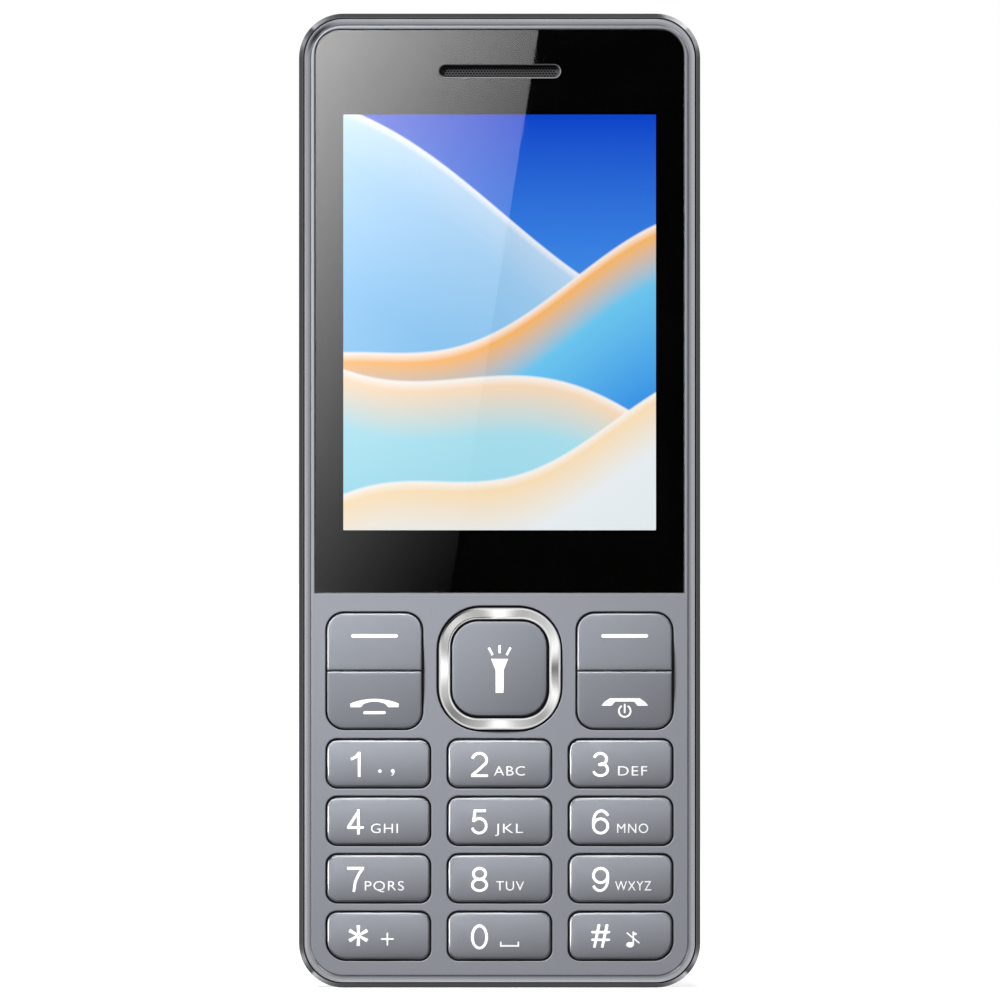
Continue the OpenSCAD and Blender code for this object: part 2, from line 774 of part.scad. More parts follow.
// Rear housing: rear deck, battery bay, screw columns and the camera island
module rear_housing() {
    color("#2b2d31") upright() difference() {
        union() {
            difference() {
                union() {
                    body_layer(housing_inset, band_back, parting_z);
                    body_layer(step_inset, deck_back, band_back + cut);
                    pill([0, camera_v], island_w, island_h, island_back, deck_front);
                }
                body_layer(rear_cavity_inset, deck_front, parting_z + cut);
            }
            block([0, bay_v], bay_w + 2 * bay_wall_t, bay_h + 2 * bay_wall_t, deck_back, parting_z);
            for (at = screw_places()) disc(at, column_r, deck_back, parting_z);
            for (at = post_places()) disc(at, post_r, deck_back, board_back - fit);
            for (sx = [-1, 1])
                block([sx * (bay_w / 2 - rib_inset), bay_v], rib_w, bay_h, parting_z - cut, board_back - fit);
            for (sx = [-1, 1])
                block([motor_x + sx * (motor_l / 2 - cradle_inset), motor_v], cradle_t, cradle_h,
                    deck_back, motor_z);
        }
        block([0, bay_v], bay_w, bay_h, deck_back - cut, bay_floor_back);
        for (v = socket_v)
            block([0, v], sim_w + 2 * room, sim_h + 2 * room, bay_floor_back - cut, parting_z + cut);
        block([0, card_v], card_w + 2 * room, card_h + 2 * room, bay_floor_back - cut, parting_z + cut);
        for (i = [-1 : 1])
            block([i * contact_pitch, bay_top + bay_wall_t / 2], blade_w + 2 * room, bay_wall_t + 2 * cut,
                contact_z - blade_h / 2 - room, contact_z + blade_h / 2 + room);
        for (at = screw_places()) {
            disc(at, screw_r + fit, deck_back - cut, parting_z + cut);
            disc(at, screw_head_r + 2 * fit, deck_back - cut, screw_seat);
        }
        rod_cradle();
        disc([-camera_x, camera_v], camera_r + fit, island_back - cut, island_back + camera_glass_t + fit);
        disc([-camera_x, camera_v], barrel_r + 2 * fit, island_back - cut, deck_front + cut);
        disc([camera_x, camera_v], torch_r + fit, island_back - cut, deck_front + cut);
        for (at = hook_places()) cover_hook(at, 2 * fit, deck_back - cut, hook_end + 2 * fit);
        sound_slots(deck_back - cut, deck_front + cut);
        audio_cut(jack_nose_r + fit);
        usb_cut(room);
        mic_cut(mic_hole_r);
    }
}

// Seat for the motor's can in the two cradle ribs
module rod_cradle() {
    translate([motor_x, motor_v, motor_z]) rotate([0, 90, 0])
        cylinder(r = motor_r + fit, h = motor_l, center = true);
}

// Battery cover: shell with round rear edges, hooks, sound slots and a pry notch
module battery_cover() {
    color("#83868d") upright() difference() {
        union() {
            difference() {
                cover_form();
                body_layer(cover_wall_t, cover_inner, band_back + cut);
            }
            for (at = hook_places()) cover_hook(at, 0, cover_inner - cut, hook_end);
        }
        pill([0, camera_v], island_w + 2 * room, island_h + 2 * room, back_z - cut, cover_inner + cut);
        sound_slots(back_z - cut, cover_inner + cut);
        rod(-body_w / 4, band_back - fit + pry_r - pry_depth, pry_r, -cut, cover_wall_t + cut);
    }
}

// Hook inside the cover's wall; with a margin, the notch that takes it
module cover_hook(at, margin, z0, z1) {
    block([at[0] * (body_w / 2 - cover_wall_t - hook_t / 2 + hook_root / 2), at[1]],
        hook_t + hook_root + 2 * margin, hook_w + 2 * margin, z0, z1);
}

// Outside of the battery cover
module cover_form() {
    hull($fn = 32) {
        body_layer(0, back_z + edge_r, band_back - fit, $fn = 32);
        for (sx = [-1, 1], v = [corner_r, body_h - corner_r])
            translate([sx * (body_w / 2 - corner_r), v, back_z + edge_r])
                rotate_extrude($fn = 32) intersection() {
                    translate([corner_r - edge_r, 0]) circle(edge_r, $fn = 32);
                    translate([0, -edge_r]) square([corner_r, edge_r]);
                }
    }
}

// Window over the screen, with the earpiece slot
module display_window() {
    color("#0b0b0d") upright() difference() {
        corner_slab([0, (window_bottom + window_top) / 2], window_w, window_top - window_bottom,
            [window_r - fit, window_r - fit, fit, fit], window_under, window_front);
        pill([0, ear_v], ear_w, ear_h, window_under - cut, window_front + cut);
    }
}

// Tape between the window and its shelf
module window_tape() {
    color("#1a1a1c") upright() difference() {
        corner_slab([0, (window_bottom + window_top) / 2], window_w - 2 * room,
            window_top - window_bottom - 2 * room, [window_r - room, window_r - room, fit, fit],
            shelf_top, window_under);
        block([0, panel_v], tray_w + 2 * room, tray_h + 2 * room, shelf_top - cut, window_under + cut);
        pill([0, ear_v], mesh_w + room, mesh_h + room, shelf_top - cut, window_under + cut);
    }
}

// Earpiece mesh, bonded under the window with its middle raised into the slot
module earpiece_mesh() {
    color("#55575c") upright() {
        pill([0, ear_v], mesh_w, mesh_h, shelf_top, window_under);
        pill([0, ear_v], ear_w - 4 * fit, ear_h - 4 * fit, shelf_top, window_front - ear_recess);
    }
}

// Number key i
module number_key(i) {
    color("#8d9098") upright()
        key_cap(number_at(i), number_wide - 2 * key_gap, number_tall - 2 * key_gap,
            number_radii(i, -key_gap), number_radii(i, flange_w - key_gap));
}

// Function key i: its two inner corners are square and its flange stops short at the split
module function_key(i) {
    up = function_up(i);
    round_r = function_r - key_gap;
    tight_r = 0.12;
    at = function_at(i);
    w = function_wide - 2 * key_gap;
    radii = up > 0 ? [round_r, round_r, tight_r, tight_r] : [tight_r, tight_r, round_r, round_r];
    color("#8d9098") upright() {
        difference() {
            key_cap(at, w, function_key_h(), radii, [for (r = radii) r + flange_w]);
            block([at[0], function_v - up * function_tall / 2], 2 * function_wide,
                function_tall + function_split, stem_end - cut, key_top + cut);
        }
    }
}

// Navigation ring: rocks to four sides, with a nub over the left and the right dome
module nav_ring() {
    at = [0, nav_v];
    top_w = ring_w - 2 * ring_chamfer;
    shoulder = key_top - ring_chamfer;
    color("#c4c5c8") upright() {
        difference() {
            union() {
                slab(at, ring_flange_w, ring_flange_w, ring_flange_r, ring_flange_under, ring_flange_top);
                slab(at, ring_w, ring_w, ring_r, ring_flange_under, shoulder);
                hull($fn = 40) {
                    slab(at, ring_w, ring_w, ring_r, shoulder - sliver, shoulder, $fn = 40);
                    slab(at, top_w, top_w, ring_r - ring_chamfer, key_top - sliver, key_top, $fn = 40);
                }
            }
            slab(at, nav_hole_size, nav_hole_size, nav_hole_round, ring_flange_under - cut, key_top + cut);
            slab(at, ring_socket_w, ring_socket_w, ring_socket_r, ring_flange_under - cut, ring_lip_under);
        }
        for (sx = [-1, 1])
            disc([sx * nav_side_reach, nav_v], nub_r, ring_nub_end, ring_flange_under + ring_flange_t / 2);
    }
}

// Rocker plate under the ring, with a nub over the upper and the lower dome
module nav_rocker() {
    film_top = board_front + film_t;
    color("#3a3c40") upright() difference() {
        union() {
            slab([0, nav_v], rocker_w, rocker_h, lug_r, rocker_under, rocker_top);
            for (s = [-1, 1]) {
                disc([0, nav_v + s * lug_reach], lug_r, rocker_under, ring_flange_under - fit);
                disc([0, nav_v + s * nav_up_reach], nub_r, rocker_nub_end, rocker_top);
                disc([s * rocker_foot_x, nav_v], rocker_foot_r, film_top + fit, rocker_top);
            }
        }
        disc([0, nav_v], stem_r + room, rocker_under - cut, rocker_top + cut);
    }
}

// Centre key inside the navigation ring
module centre_key() {
    crown = crown_radius(centre_w, key_crown);
    color("#8b8e96") upright() {
        intersection() {
            slab([0, nav_v], centre_w, centre_w, centre_r, centre_flange_under, centre_top);
            translate([0, nav_v, centre_top - crown])
                rotate([0, 90, 0]) cylinder(r = crown, h = 2 * centre_w, center = true, $fn = 360);
        }
        slab([0, nav_v], centre_flange_w, centre_flange_w, centre_flange_r,
            centre_flange_under, centre_flange_top);
        disc([0, nav_v], stem_r, stem_end, centre_flange_under + centre_flange_t / 2);
    }
}

// Rubber mat between the keys and the domes, standing on its rim
module keypad_mat() {
    color("#dcdcd6") upright() difference() {
        union() {
            slab([0, mat_v], mat_w, mat_h, mat_r, mat_under, mat_top);
            difference() {
                slab([0, mat_v], mat_w, mat_h, mat_r, board_front + film_t, mat_top);
                slab([0, mat_v], mat_w - 2 * mat_rim, mat_h - 2 * mat_rim, mat_r - mat_rim,
                    board_front, mat_under);
            }
        }
        for (i = [0 : 11]) disc(number_at(i), stem_r + room, mat_under - cut, mat_top + cut);
        for (i = [0 : 3]) disc(function_at(i), stem_r + room, mat_under - cut, mat_top + cut);
        block([0, nav_v], nav_well_w, nav_well_w, board_front, mat_top + cut);
    }
}

// Film on the board round the domes and the keypad lights
module dome_film() {
    color("#c9d2da") upright() difference() {
        slab([0, mat_v], mat_w, mat_h, mat_r, board_front, board_front + film_t);
        for (at = dome_places()) disc(at, dome_r + film_gap, board_front - cut, board_front + cut);
        for (at = led_places())
            block(at, led_w + 2 * film_gap, led_w / 2 + 2 * film_gap, board_front - cut, board_front + cut);
    }
}

// Snap domes under the keys
module snap_domes() {
    sphere_r = crown_radius(2 * dome_r, dome_h);
    color("#d9c27a") upright()
        for (at = dome_places()) intersection() {
            disc(at, dome_r + cut, board_front, dome_top + cut);
            translate([at[0], at[1], dome_top - sphere_r]) sphere(sphere_r, $fn = 160);
        }
}

// Lights between the keys
module keypad_leds() {
    color("#f2f2ea") upright()
        for (at = led_places()) block(at, led_w, led_w / 2, board_front, board_front + led_t);
}

// Main board, with notches for the screw bosses and the audio socket
module main_board() {
    color("#1f5a36") upright() difference() {
        body_layer(board_inset, board_back, board_front);
        for (at = screw_places()) disc(at, boss_r + room, board_back - cut, board_front + cut);
        block([-jack_x, (jack_back + body_h) / 2], jack_body_w + 2 * room, body_h - jack_back + 2 * room,
            board_back - cut, board_front + cut);
    }
}

// Chips on the back of the board, one under each shield can
module board_chips() {
    color("#232326") upright()
        for (at = can_places())
            block([at[0], at[1]], at[2] / 2, at[3] / 2, board_back - can_t / 2, board_back);
}

// Shield cans over the chips
module shield_cans() {
    color("#b9bcc0") upright()
        for (at = can_places()) difference() {
            block([at[0], at[1]], at[2], at[3], board_back - can_t, board_back);
            block([at[0], at[1]], at[2] - 2 * can_sheet, at[3] - 2 * can_sheet,
                board_back - can_t + can_sheet, board_back + cut);
        }
}

// Screen panel
module display_panel() {
    color("#4f9bd8") upright()
        block([0, panel_v], panel_w, panel_h, panel_back, panel_front);
}

// Tray behind and round the screen panel
module display_tray() {
    color("#a9acb1") upright() difference() {
        block([0, panel_v], tray_w, tray_h, board_front, panel_front - tray_drop);
        block([0, panel_v], panel_w + 2 * fit, panel_h + 2 * fit, panel_back, panel_front + cut);
    }
}

// Ribbon from the screen down to its connector on the board
module display_flex() {
    flex_w = 18;
    flex_h = 0.4 * (tray_bottom - keypad_top);
    flex_t = 0.2;
    plug_w = flex_w + 1;
    plug_h = flex_h / 2;
    plug_t = 0.9;
    color("#b5702c") upright() {
        block([0, tray_bottom - flex_h / 2 - fit], flex_w, flex_h, board_front, board_front + flex_t);
        block([0, tray_bottom - flex_h - fit], plug_w, plug_h, board_front, board_front + plug_t);
    }
}

// Earpiece receiver on the board
module earpiece_receiver() {
    color("#3d3f44") upright()
        slab([0, ear_v], receiver_w, receiver_h, receiver_h / 4, board_front, shelf_under - 2 * fit);
}

// Gasket that leads the sound from the receiver to the mesh
module earpiece_gasket() {
    color("#151517") upright() difference() {
        pill([0, ear_v], gasket_w, gasket_h, shelf_under - 2 * fit, shelf_top);
        pill([0, ear_v], gasket_w - 2 * gasket_wall, gasket_h - 2 * gasket_wall,
            shelf_under - cut, shelf_top + cut);
    }
}

// Loudspeaker, with two spring legs to the board
module loudspeaker() {
    color("#46484d") upright() {
        slab([speaker_x, speaker_v], speaker_w, speaker_tall, speaker_r, speaker_back, speaker_front);
        for (sx = [-1, 1])
            block([speaker_x + sx * speaker_w / 4, speaker_v - speaker_tall / 4],
                speaker_leg_w, speaker_leg_w, speaker_front - cut, board_back);
    }
}

// Gasket between the loudspeaker and the rear deck
module loudspeaker_gasket() {
    rim_w = 1.5;
    rim_h = 0.6;
    color("#151517") upright() difference() {
        slab([speaker_x, speaker_v], speaker_w, speaker_tall, speaker_r, deck_front, speaker_back);
        slab([speaker_x, speaker_v], speaker_w - 2 * rim_w, speaker_tall - 2 * rim_h, speaker_r / 2,
            deck_front - cut, speaker_back + cut);
    }
}

// Can of the vibration motor, lying in its cradle
module vibration_motor() {
    color("#b4b6ba") upright()
        translate([motor_x - motor_l / 2, motor_v, motor_z]) rotate([0, 90, 0]) difference() {
            cylinder(r = motor_r, h = motor_l);
            translate([0, 0, motor_l / 2]) cylinder(r = shaft_r + running_gap, h = motor_l);
        }
}

// Eccentric weight on the motor's shaft
module motor_weight() {
    color("#8c8f93") upright() translate([0, motor_v, motor_z]) rotate([0, 90, 0]) {
        translate([0, 0, shaft_start]) cylinder(r = shaft_r, h = weight_start + weight_l - shaft_start);
        translate([0, 0, weight_start]) difference() {
            cylinder(r = weight_r, h = weight_l);
            translate([-weight_r - cut, shaft_r, -cut])
                cube([2 * (weight_r + cut), weight_r, weight_l + 2 * cut]);
        }
    }
}

// Microphone capsule in its rubber boot
module microphone() {
    color("#c0c2c6") upright() rod(mic_x, mic_z, mic_r, mic_front, mic_front + mic_l);
}
module microphone_boot() {
    color("#1b1b1d") upright() difference() {
        rod(mic_x, mic_z, boot_r, rear_cavity_inset + fit, mic_back);
        rod(mic_x, mic_z, mic_r, mic_front, mic_back + cut);
        rod(mic_x, mic_z, mic_hole_r, rear_cavity_inset - cut, mic_back);
    }
}

// Camera: body on the board, barrel through the island
module camera_module() {
    at = [-camera_x, camera_v];
    barrel_back = island_back + camera_glass_t + 3 * fit;
    color("#1d1d20") upright() {
        block(at, camera_body_w, camera_body_w, board_back - camera_body_t, board_back);
        disc(at, barrel_r, barrel_back, board_back - camera_body_t + cut);
    }
}
module camera_window() {
    color("#101216") upright()
        disc([-camera_x, camera_v], camera_r, island_back, island_back + camera_glass_t);
}

// Torch light on the board, and its lens through the island
module torch_led() {
    at = [camera_x, camera_v];
    tip = deck_front + torch_flange_t + 3 * fit;
    color("#f4f0dc") upright() {
        disc(at, led_r, tip + led_r, board_back);
        translate([at[0], at[1], tip + led_r]) sphere(led_r);
    }
}
module torch_lens() {
    at = [camera_x, camera_v];
    color("#e6eaee") upright() {
        disc(at, torch_r, island_back, deck_front + torch_flange_t);
        disc(at, torch_r + torch_flange_w, deck_front, deck_front + torch_flange_t);
    }
}

// Charging socket: shell and tongue on the back of the board
module usb_socket() {
    color("#c3c5c8") upright() translate([0, usb_end, usb_z]) rotate([-90, 0, 0]) {
        difference() {
            linear_extrude(usb_depth) rounded_rect(usb_w, usb_t, usb_t / 4);
            translate([0, 0, -cut]) linear_extrude(usb_depth - usb_floor + cut)
                rounded_rect(usb_w - 2 * usb_sheet, usb_t - 2 * usb_sheet, (usb_t - usb_sheet) / 4);
        }
        translate([-usb_w / 4, -usb_tongue_t / 2, usb_tongue_recess])
            cube([usb_w / 2, usb_tongue_t, usb_depth - usb_tongue_recess - usb_floor / 2]);
    }
}

// Audio socket: body in the board's notch, nose through the top wall
module audio_socket() {
    body_top = board_front - 2 * fit;
    body_back = jack_z - jack_nose_r;
    color("#26272b") upright() difference() {
        union() {
            block([-jack_x, (jack_back + jack_body_end) / 2], jack_body_w, jack_body_end - jack_back,
                body_back, body_top);
            rod(-jack_x, jack_z, jack_nose_r, jack_body_end - cut, jack_end);
        }
        rod(-jack_x, jack_z, jack_r, jack_end - jack_depth, jack_end + cut);
    }
}

// Battery in its bay, with recesses for the contacts
module battery() {
    recess_w = blade_w + 2 * room;
    recess_h = blade_h + 2 * room;
    recess_depth = blade_reach + room / 2;
    color("#3c4046") upright() difference() {
        slab([0, bay_v], battery_w, cell_h, battery_r, battery_back, battery_front);
        for (i = [-1 : 1])
            block([i * contact_pitch, bay_v + cell_h / 2], recess_w, 2 * recess_depth,
                contact_z - recess_h / 2, contact_z + recess_h / 2);
    }
}

// Battery contacts: holder on the board with three blades into the bay
module battery_contacts() {
    holder_v = bay_top + bay_wall_t + fit + contact_h / 2;
    blade_v = bay_v + cell_h / 2 - blade_reach;
    color("#d8b65a") upright() {
        block([0, holder_v], contact_w, contact_h, contact_back, board_back);
        for (i = [-1 : 1])
            block([i * contact_pitch, (blade_v + holder_v) / 2], blade_w, holder_v - blade_v,
                contact_z - blade_h / 2, contact_z + blade_h / 2);
    }
}

// Card socket on the back of the board, open at one side for the card
module card_socket(v, w, h) {
    sheet = 0.25;
    difference() {
        block([0, v], w, h, board_back - socket_t, board_back);
        block([sheet, v], w, h - 2 * sheet, board_back - socket_t + sheet, board_back - sheet);
    }
}
module sim_socket_1() {
    color("#b9bcc0") upright() card_socket(socket_v[0], sim_w, sim_h);
}
module sim_socket_2() {
    color("#b9bcc0") upright() card_socket(socket_v[1], sim_w, sim_h);
}
module memory_card_socket() {
    color("#b9bcc0") upright() card_socket(card_v, card_w, card_h);
}

// Antenna: plate on the rear deck with two legs to the board
module antenna() {
    antenna_w = 36;
    antenna_h = bay_base - bay_wall_t - rear_cavity_inset - 2 * room;
    antenna_v = rear_cavity_inset + room + antenna_h / 2;
    antenna_t = 0.2;
    leg_w = 1;
    leg_h = 1.5;
    color("#c98a3d") upright() {
        block([0, antenna_v], antenna_w, antenna_h, deck_front, deck_front + antenna_t);
        for (x = [-15, -11]) block([x, antenna_v], leg_w, leg_h, deck_front, board_back);
    }
}

// Screws that hold the housings together, with cross recesses
module housing_screws() {
    color("#b4b6ba") upright()
        for (at = screw_places()) difference() {
            union() {
                disc(at, screw_head_r, screw_seat - screw_head_t, screw_seat);
                disc(at, screw_r, screw_seat - cut, boss_top - boss_cap - screw_tip_gap);
            }
            for (turn = [[screw_slot_l, screw_slot_w], [screw_slot_w, screw_slot_l]])
                block(at, turn[0], turn[1], screw_seat - screw_head_t - cut, screw_seat - screw_head_t / 2);
        }
}

front_housing();
side_band();
rear_housing();
battery_cover();
display_window();
window_tape();
earpiece_mesh();
for (i = [0 : 11]) number_key(i);
for (i = [0 : 3]) function_key(i);
nav_ring();
nav_rocker();
centre_key();
keypad_mat();
dome_film();
snap_domes();
keypad_leds();
main_board();
board_chips();
shield_cans();
display_panel();
display_tray();
display_flex();
earpiece_receiver();
earpiece_gasket();
loudspeaker();
loudspeaker_gasket();
vibration_motor();
motor_weight();
microphone();
microphone_boot();
camera_module();
camera_window();
torch_led();
torch_lens();
usb_socket();
audio_socket();
battery();
battery_contacts();
sim_socket_1();
sim_socket_2();
memory_card_socket();
antenna();
housing_screws();
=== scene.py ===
import math

import bmesh
import bpy
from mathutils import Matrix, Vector


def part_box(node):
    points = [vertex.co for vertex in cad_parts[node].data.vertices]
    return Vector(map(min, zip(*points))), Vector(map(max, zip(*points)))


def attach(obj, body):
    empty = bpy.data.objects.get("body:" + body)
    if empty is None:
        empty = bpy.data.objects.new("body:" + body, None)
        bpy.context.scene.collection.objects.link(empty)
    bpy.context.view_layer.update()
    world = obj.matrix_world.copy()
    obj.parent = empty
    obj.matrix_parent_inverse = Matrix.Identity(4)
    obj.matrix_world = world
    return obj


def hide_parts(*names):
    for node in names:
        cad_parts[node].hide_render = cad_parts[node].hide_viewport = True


# Looks of the bar feature phone. Pieces are laid out in millimetres as seen from the front: x to the
# right, v up from the bottom end, depth out of the front. spot() turns that into the frame's axes.
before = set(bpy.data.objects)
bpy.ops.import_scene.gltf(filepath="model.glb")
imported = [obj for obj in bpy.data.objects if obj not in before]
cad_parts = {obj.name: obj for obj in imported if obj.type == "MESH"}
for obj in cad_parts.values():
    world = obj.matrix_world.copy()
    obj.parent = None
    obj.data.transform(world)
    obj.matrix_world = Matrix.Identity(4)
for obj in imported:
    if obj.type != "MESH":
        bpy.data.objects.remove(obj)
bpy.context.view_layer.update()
MM = 0.001
PHONE = "phone"


def spot(x, v, depth):
    """The place in the frame of a point of the layout."""
    return Vector((x, -depth, v)) * MM


def seat(node):
    """Left, bottom, right, top, front depth and back depth of a node, in the layout."""
    low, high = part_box(node)
    return low.x / MM, low.z / MM, high.x / MM, high.z / MM, -low.y / MM, -high.y / MM


def middle(box):
    return (box[0] + box[2]) / 2, (box[1] + box[3]) / 2


def grown(box, by):
    return box[0] - by, box[1] - by, box[2] + by, box[3] + by


# Seats of the pieces, taken from the frame
BODY = seat("side_band")
HOUSING = seat("front_housing")
WINDOW = seat("display_window")
PANEL = seat("display_panel")
EAR_MESH = seat("earpiece_mesh")
COVER = seat("battery_cover")
CAMERA = seat("camera_window")
CAMERA_BODY = seat("camera_module")
TORCH = seat("torch_lens")
RING = seat("nav_ring")
CENTRE = seat("centre_key")
REAR = seat("rear_housing")
USB = seat("usb_socket")
JACK = seat("audio_socket")
SPEAKER = seat("loudspeaker")
MICROPHONE = seat("microphone")
BATTERY = seat("battery")

# Sizes of the shells
CORNER_R = 6.1
BAND_T = 0.72
BAND_SLOPE = 0.75
BAND_LIP = 0.58
BAND_GROOVE = 0.6
PLATE_INSET = 1.71
CAVITY_INSET = 2.17
PLATE_FRONT = HOUSING[4]
PLATE_UNDER = PLATE_FRONT - 1.2
COVE_TOP = PLATE_FRONT - 0.2
COVE_FOOT = BODY[4]
PLATE_EDGE = 0.12
FIT = 0.05
WINDOW_R = 3.5
SHARP_R = 0.06
SCREEN_BORDER = 1.1
SCREEN_FOOT = 3.452
EAR_SLOT = (16.5, 1.65)
COVER_EDGE_R = 2.7
COVER_WALL = 1.5
COVER_T = 1.1
COVE_STEPS = 10
# Shelf under the window: its width, its front and back below the window's back, the room behind it
SHELF_W = 1.4
SHELF_FRONT = 0.3
SHELF_BACK = 0.9
SHELF_ROOM = 0.3
RECESS_EDGE = 0.08

# Sizes of the keys
KEY_GAP = 0.25
FLANGE = 0.5
FLANGE_TOP = PLATE_UNDER - FIT
FLANGE_UNDER = FLANGE_TOP - 0.5
STEM_R = 1.2
KEY_FILLET = 0.3
NUMBER_R = 1.35
CORNER_KEY_R = 2.55
FUNCTION_R = 2.31
INNER_R = 0.12
RING_R = 5.75
RING_HOLE = 13.55
RING_HOLE_R = 3.8
CENTRE_GAP = 0.27
SKIRT_DROP = 0.25
FUNCTION_FILLET = 0.24


# Materials
WHITE = (1.0, 1.0, 1.0, 1.0)


def shade(colour, by):
    return tuple(min(1.0, part * by) for part in colour[:3]) + (1.0,)


class Nodes:
    """A node tree under construction; most calls add nodes and give back the last one's output."""

    def __init__(self, tree):
        self.tree = tree

    def join(self, socket, value):
        if isinstance(value, list):
            for part in value:
                self.join(socket, part)
        elif isinstance(value, bpy.types.NodeSocket):
            self.tree.links.new(value, socket)
        else:
            socket.default_value = value

    def add(self, kind, inputs, output=0, **settings):
        node = self.tree.nodes.new(kind if kind.startswith("GeometryNode") else "ShaderNode" + kind)
        for name, value in settings.items():
            setattr(node, name, value)
        for name, value in inputs.items():
            self.join(node.inputs[name], value)
        return node.outputs[output]

    def place(self, scale=(1.0, 1.0, 1.0)):
        here = self.add("TexCoord", {}, "Object")
        return self.add("Mapping", {"Vector": here, "Scale": scale})

    def axes(self):
        """The x, y and z of a place, as three outputs."""
        here = self.add("TexCoord", {}, "Object")
        return self.add("SeparateXYZ", {"Vector": here}).node.outputs

    def noise(self, place, scale, detail=2.0):
        return self.add("TexNoise", {"Vector": place, "Scale": scale, "Detail": detail})

    def math(self, operation, *values):
        return self.add("Math", dict(enumerate(values)), operation=operation)

    def spread(self, value, low, high, start=0.0, end=1.0):
        inputs = {"Value": value, "From Min": start, "From Max": end, "To Min": low, "To Max": high}
        return self.add("MapRange", inputs)

    def blend(self, share, first, second):
        return self.add("Mix", {0: share, 6: first, 7: second}, 2, data_type="RGBA")

    def bump(self, height, depth):
        return self.add("Bump", {"Height": height, "Distance": depth, "Strength": 0.6})

    def ramp(self, value, stops):
        output = self.add("ValToRGB", {"Fac": value})
        elements = output.node.color_ramp.elements
        while len(elements) < len(stops):
            elements.new(0.5)
        for element, (position, colour) in zip(elements, stops):
            element.position = position
            element.color = colour
        return output


def node_material(name):
    material = bpy.data.materials.new(name)
    material.use_nodes = True
    return material


class Finish(Nodes):
    """A surface under construction."""

    def __init__(self, name):
        self.material = node_material(name)
        super().__init__(self.material.node_tree)
        self.shader = self.tree.nodes["Principled BSDF"]

    def put(self, values):
        for name, value in values.items():
            self.join(self.shader.inputs[name], value)
        return self.material


def grained(name, colour, roughness, metallic, grain, tone, bump=0.0, stretch=(1.0, 1.0, 1.0), **sockets):
    """A finish with a fine grain in its colour and relief, and a broad one in its gloss."""
    finish = Finish(name)
    fine = finish.noise(finish.place(stretch), grain, 3.0)
    broad = finish.noise(finish.place(), grain / 15)
    values = {
        "Base Color": finish.blend(fine, shade(colour, 1 - tone), shade(colour, 1 + tone)),
        "Roughness": finish.spread(broad, max(0.02, roughness - 0.05), roughness + 0.05),
        "Metallic": metallic,
    }
    if bump:
        values["Normal"] = finish.bump(fine, bump)
    values.update({socket.replace("_", " "): value for socket, value in sockets.items()})
    return finish.put(values)


HAIRLINE = (1.0, 1.0, 0.05)
PAINT = (0.05, 5200.0, 0.035)
PAINT_BUMP = 0.000002
plate_paint = grained("plate_paint", (0.325, 0.34, 0.38), 0.45, *PAINT, PAINT_BUMP)
key_paint = grained("key_paint", (0.312, 0.328, 0.366), 0.4, *PAINT, PAINT_BUMP)
# Darker copy of the key paint, as painted shade: it offsets the key light that falls strongly on the function
# keys
function_paint_shaded = grained("function_paint_shaded", (0.272, 0.286, 0.32), 0.4, *PAINT, PAINT_BUMP)
key_edge = grained("key_edge", (0.3, 0.315, 0.352), 0.2, *PAINT)
cove_metal = grained("cove_metal", (0.5, 0.51, 0.55), 0.25, 1.0, 4000.0, 0.04)
cover_paint = grained("cover_paint", (0.28, 0.29, 0.32), 0.45, 0.3, 3000.0, 0.05, 0.000006)
band_gunmetal = grained("band_gunmetal", (0.24, 0.245, 0.26), 0.14, 1.0, 1500.0, 0.06, 0.000001, HAIRLINE)
# Near-black base plastic of the keys and the ring's flange, partly painted shade so that the gaps round them
# read dark
skirt_dark_and_shade = grained("skirt_dark_and_shade", (0.012, 0.012, 0.014), 0.5, 0.0, 1500.0, 0.1)
# White print with a painted glow: its emission makes it brighter than the lamps light it
legend_white_glow = grained("legend_white_glow", (0.92, 0.92, 0.92), 0.45, 0.0, 2500.0, 0.02,
                       Emission_Color=WHITE, Emission_Strength=0.55)
ring_chrome = grained("ring_chrome", (0.86, 0.86, 0.855), 0.1, 1.0, 4000.0, 0.03)
MATT = {"Specular_IOR_Level": 0.0}
mesh_steel = grained("mesh_steel", (0.085, 0.085, 0.088), 0.6, 0.0, 4000.0, 0.06, **MATT)
ground_edge = grained("ground_edge", (0.2, 0.2, 0.205), 0.6, 0.0, 4000.0, 0.05, **MATT)
print_black = grained("print_black", (0.002, 0.002, 0.0022), 0.8, 0.0, 2500.0, 0.2, **MATT)
island_gloss = grained("island_gloss", (0.012, 0.012, 0.014), 0.12, 0.0, 2500.0, 0.1, Coat_Weight=0.6)
lens_black = grained("lens_black", (0.006, 0.006, 0.008), 0.3, 0.0, 3000.0, 0.2)


def clear(name, tint, roughness, ior):
    """A clear solid with faint smears in its gloss."""
    finish = Finish(name)
    smear = finish.noise(finish.place(), 120.0)
    return finish.put({
        "Base Color": tint,
        "Roughness": finish.spread(smear, 0.0, roughness, 0.45, 0.75),
        "Transmission Weight": 1.0,
        "IOR": ior,
    })


window_glass = clear("window_glass", WHITE, 0.02, 1.5)
camera_glass = clear("camera_glass", (0.9, 0.92, 0.95, 1.0), 0.02, 1.5)
torch_clear = clear("torch_clear", (0.97, 0.98, 1.0, 1.0), 0.05, 1.49)
lens_coating = grained("lens_coating", (0.02, 0.015, 0.05), 0.06, 0.0, 800.0, 0.2, Coat_Weight=1.0)


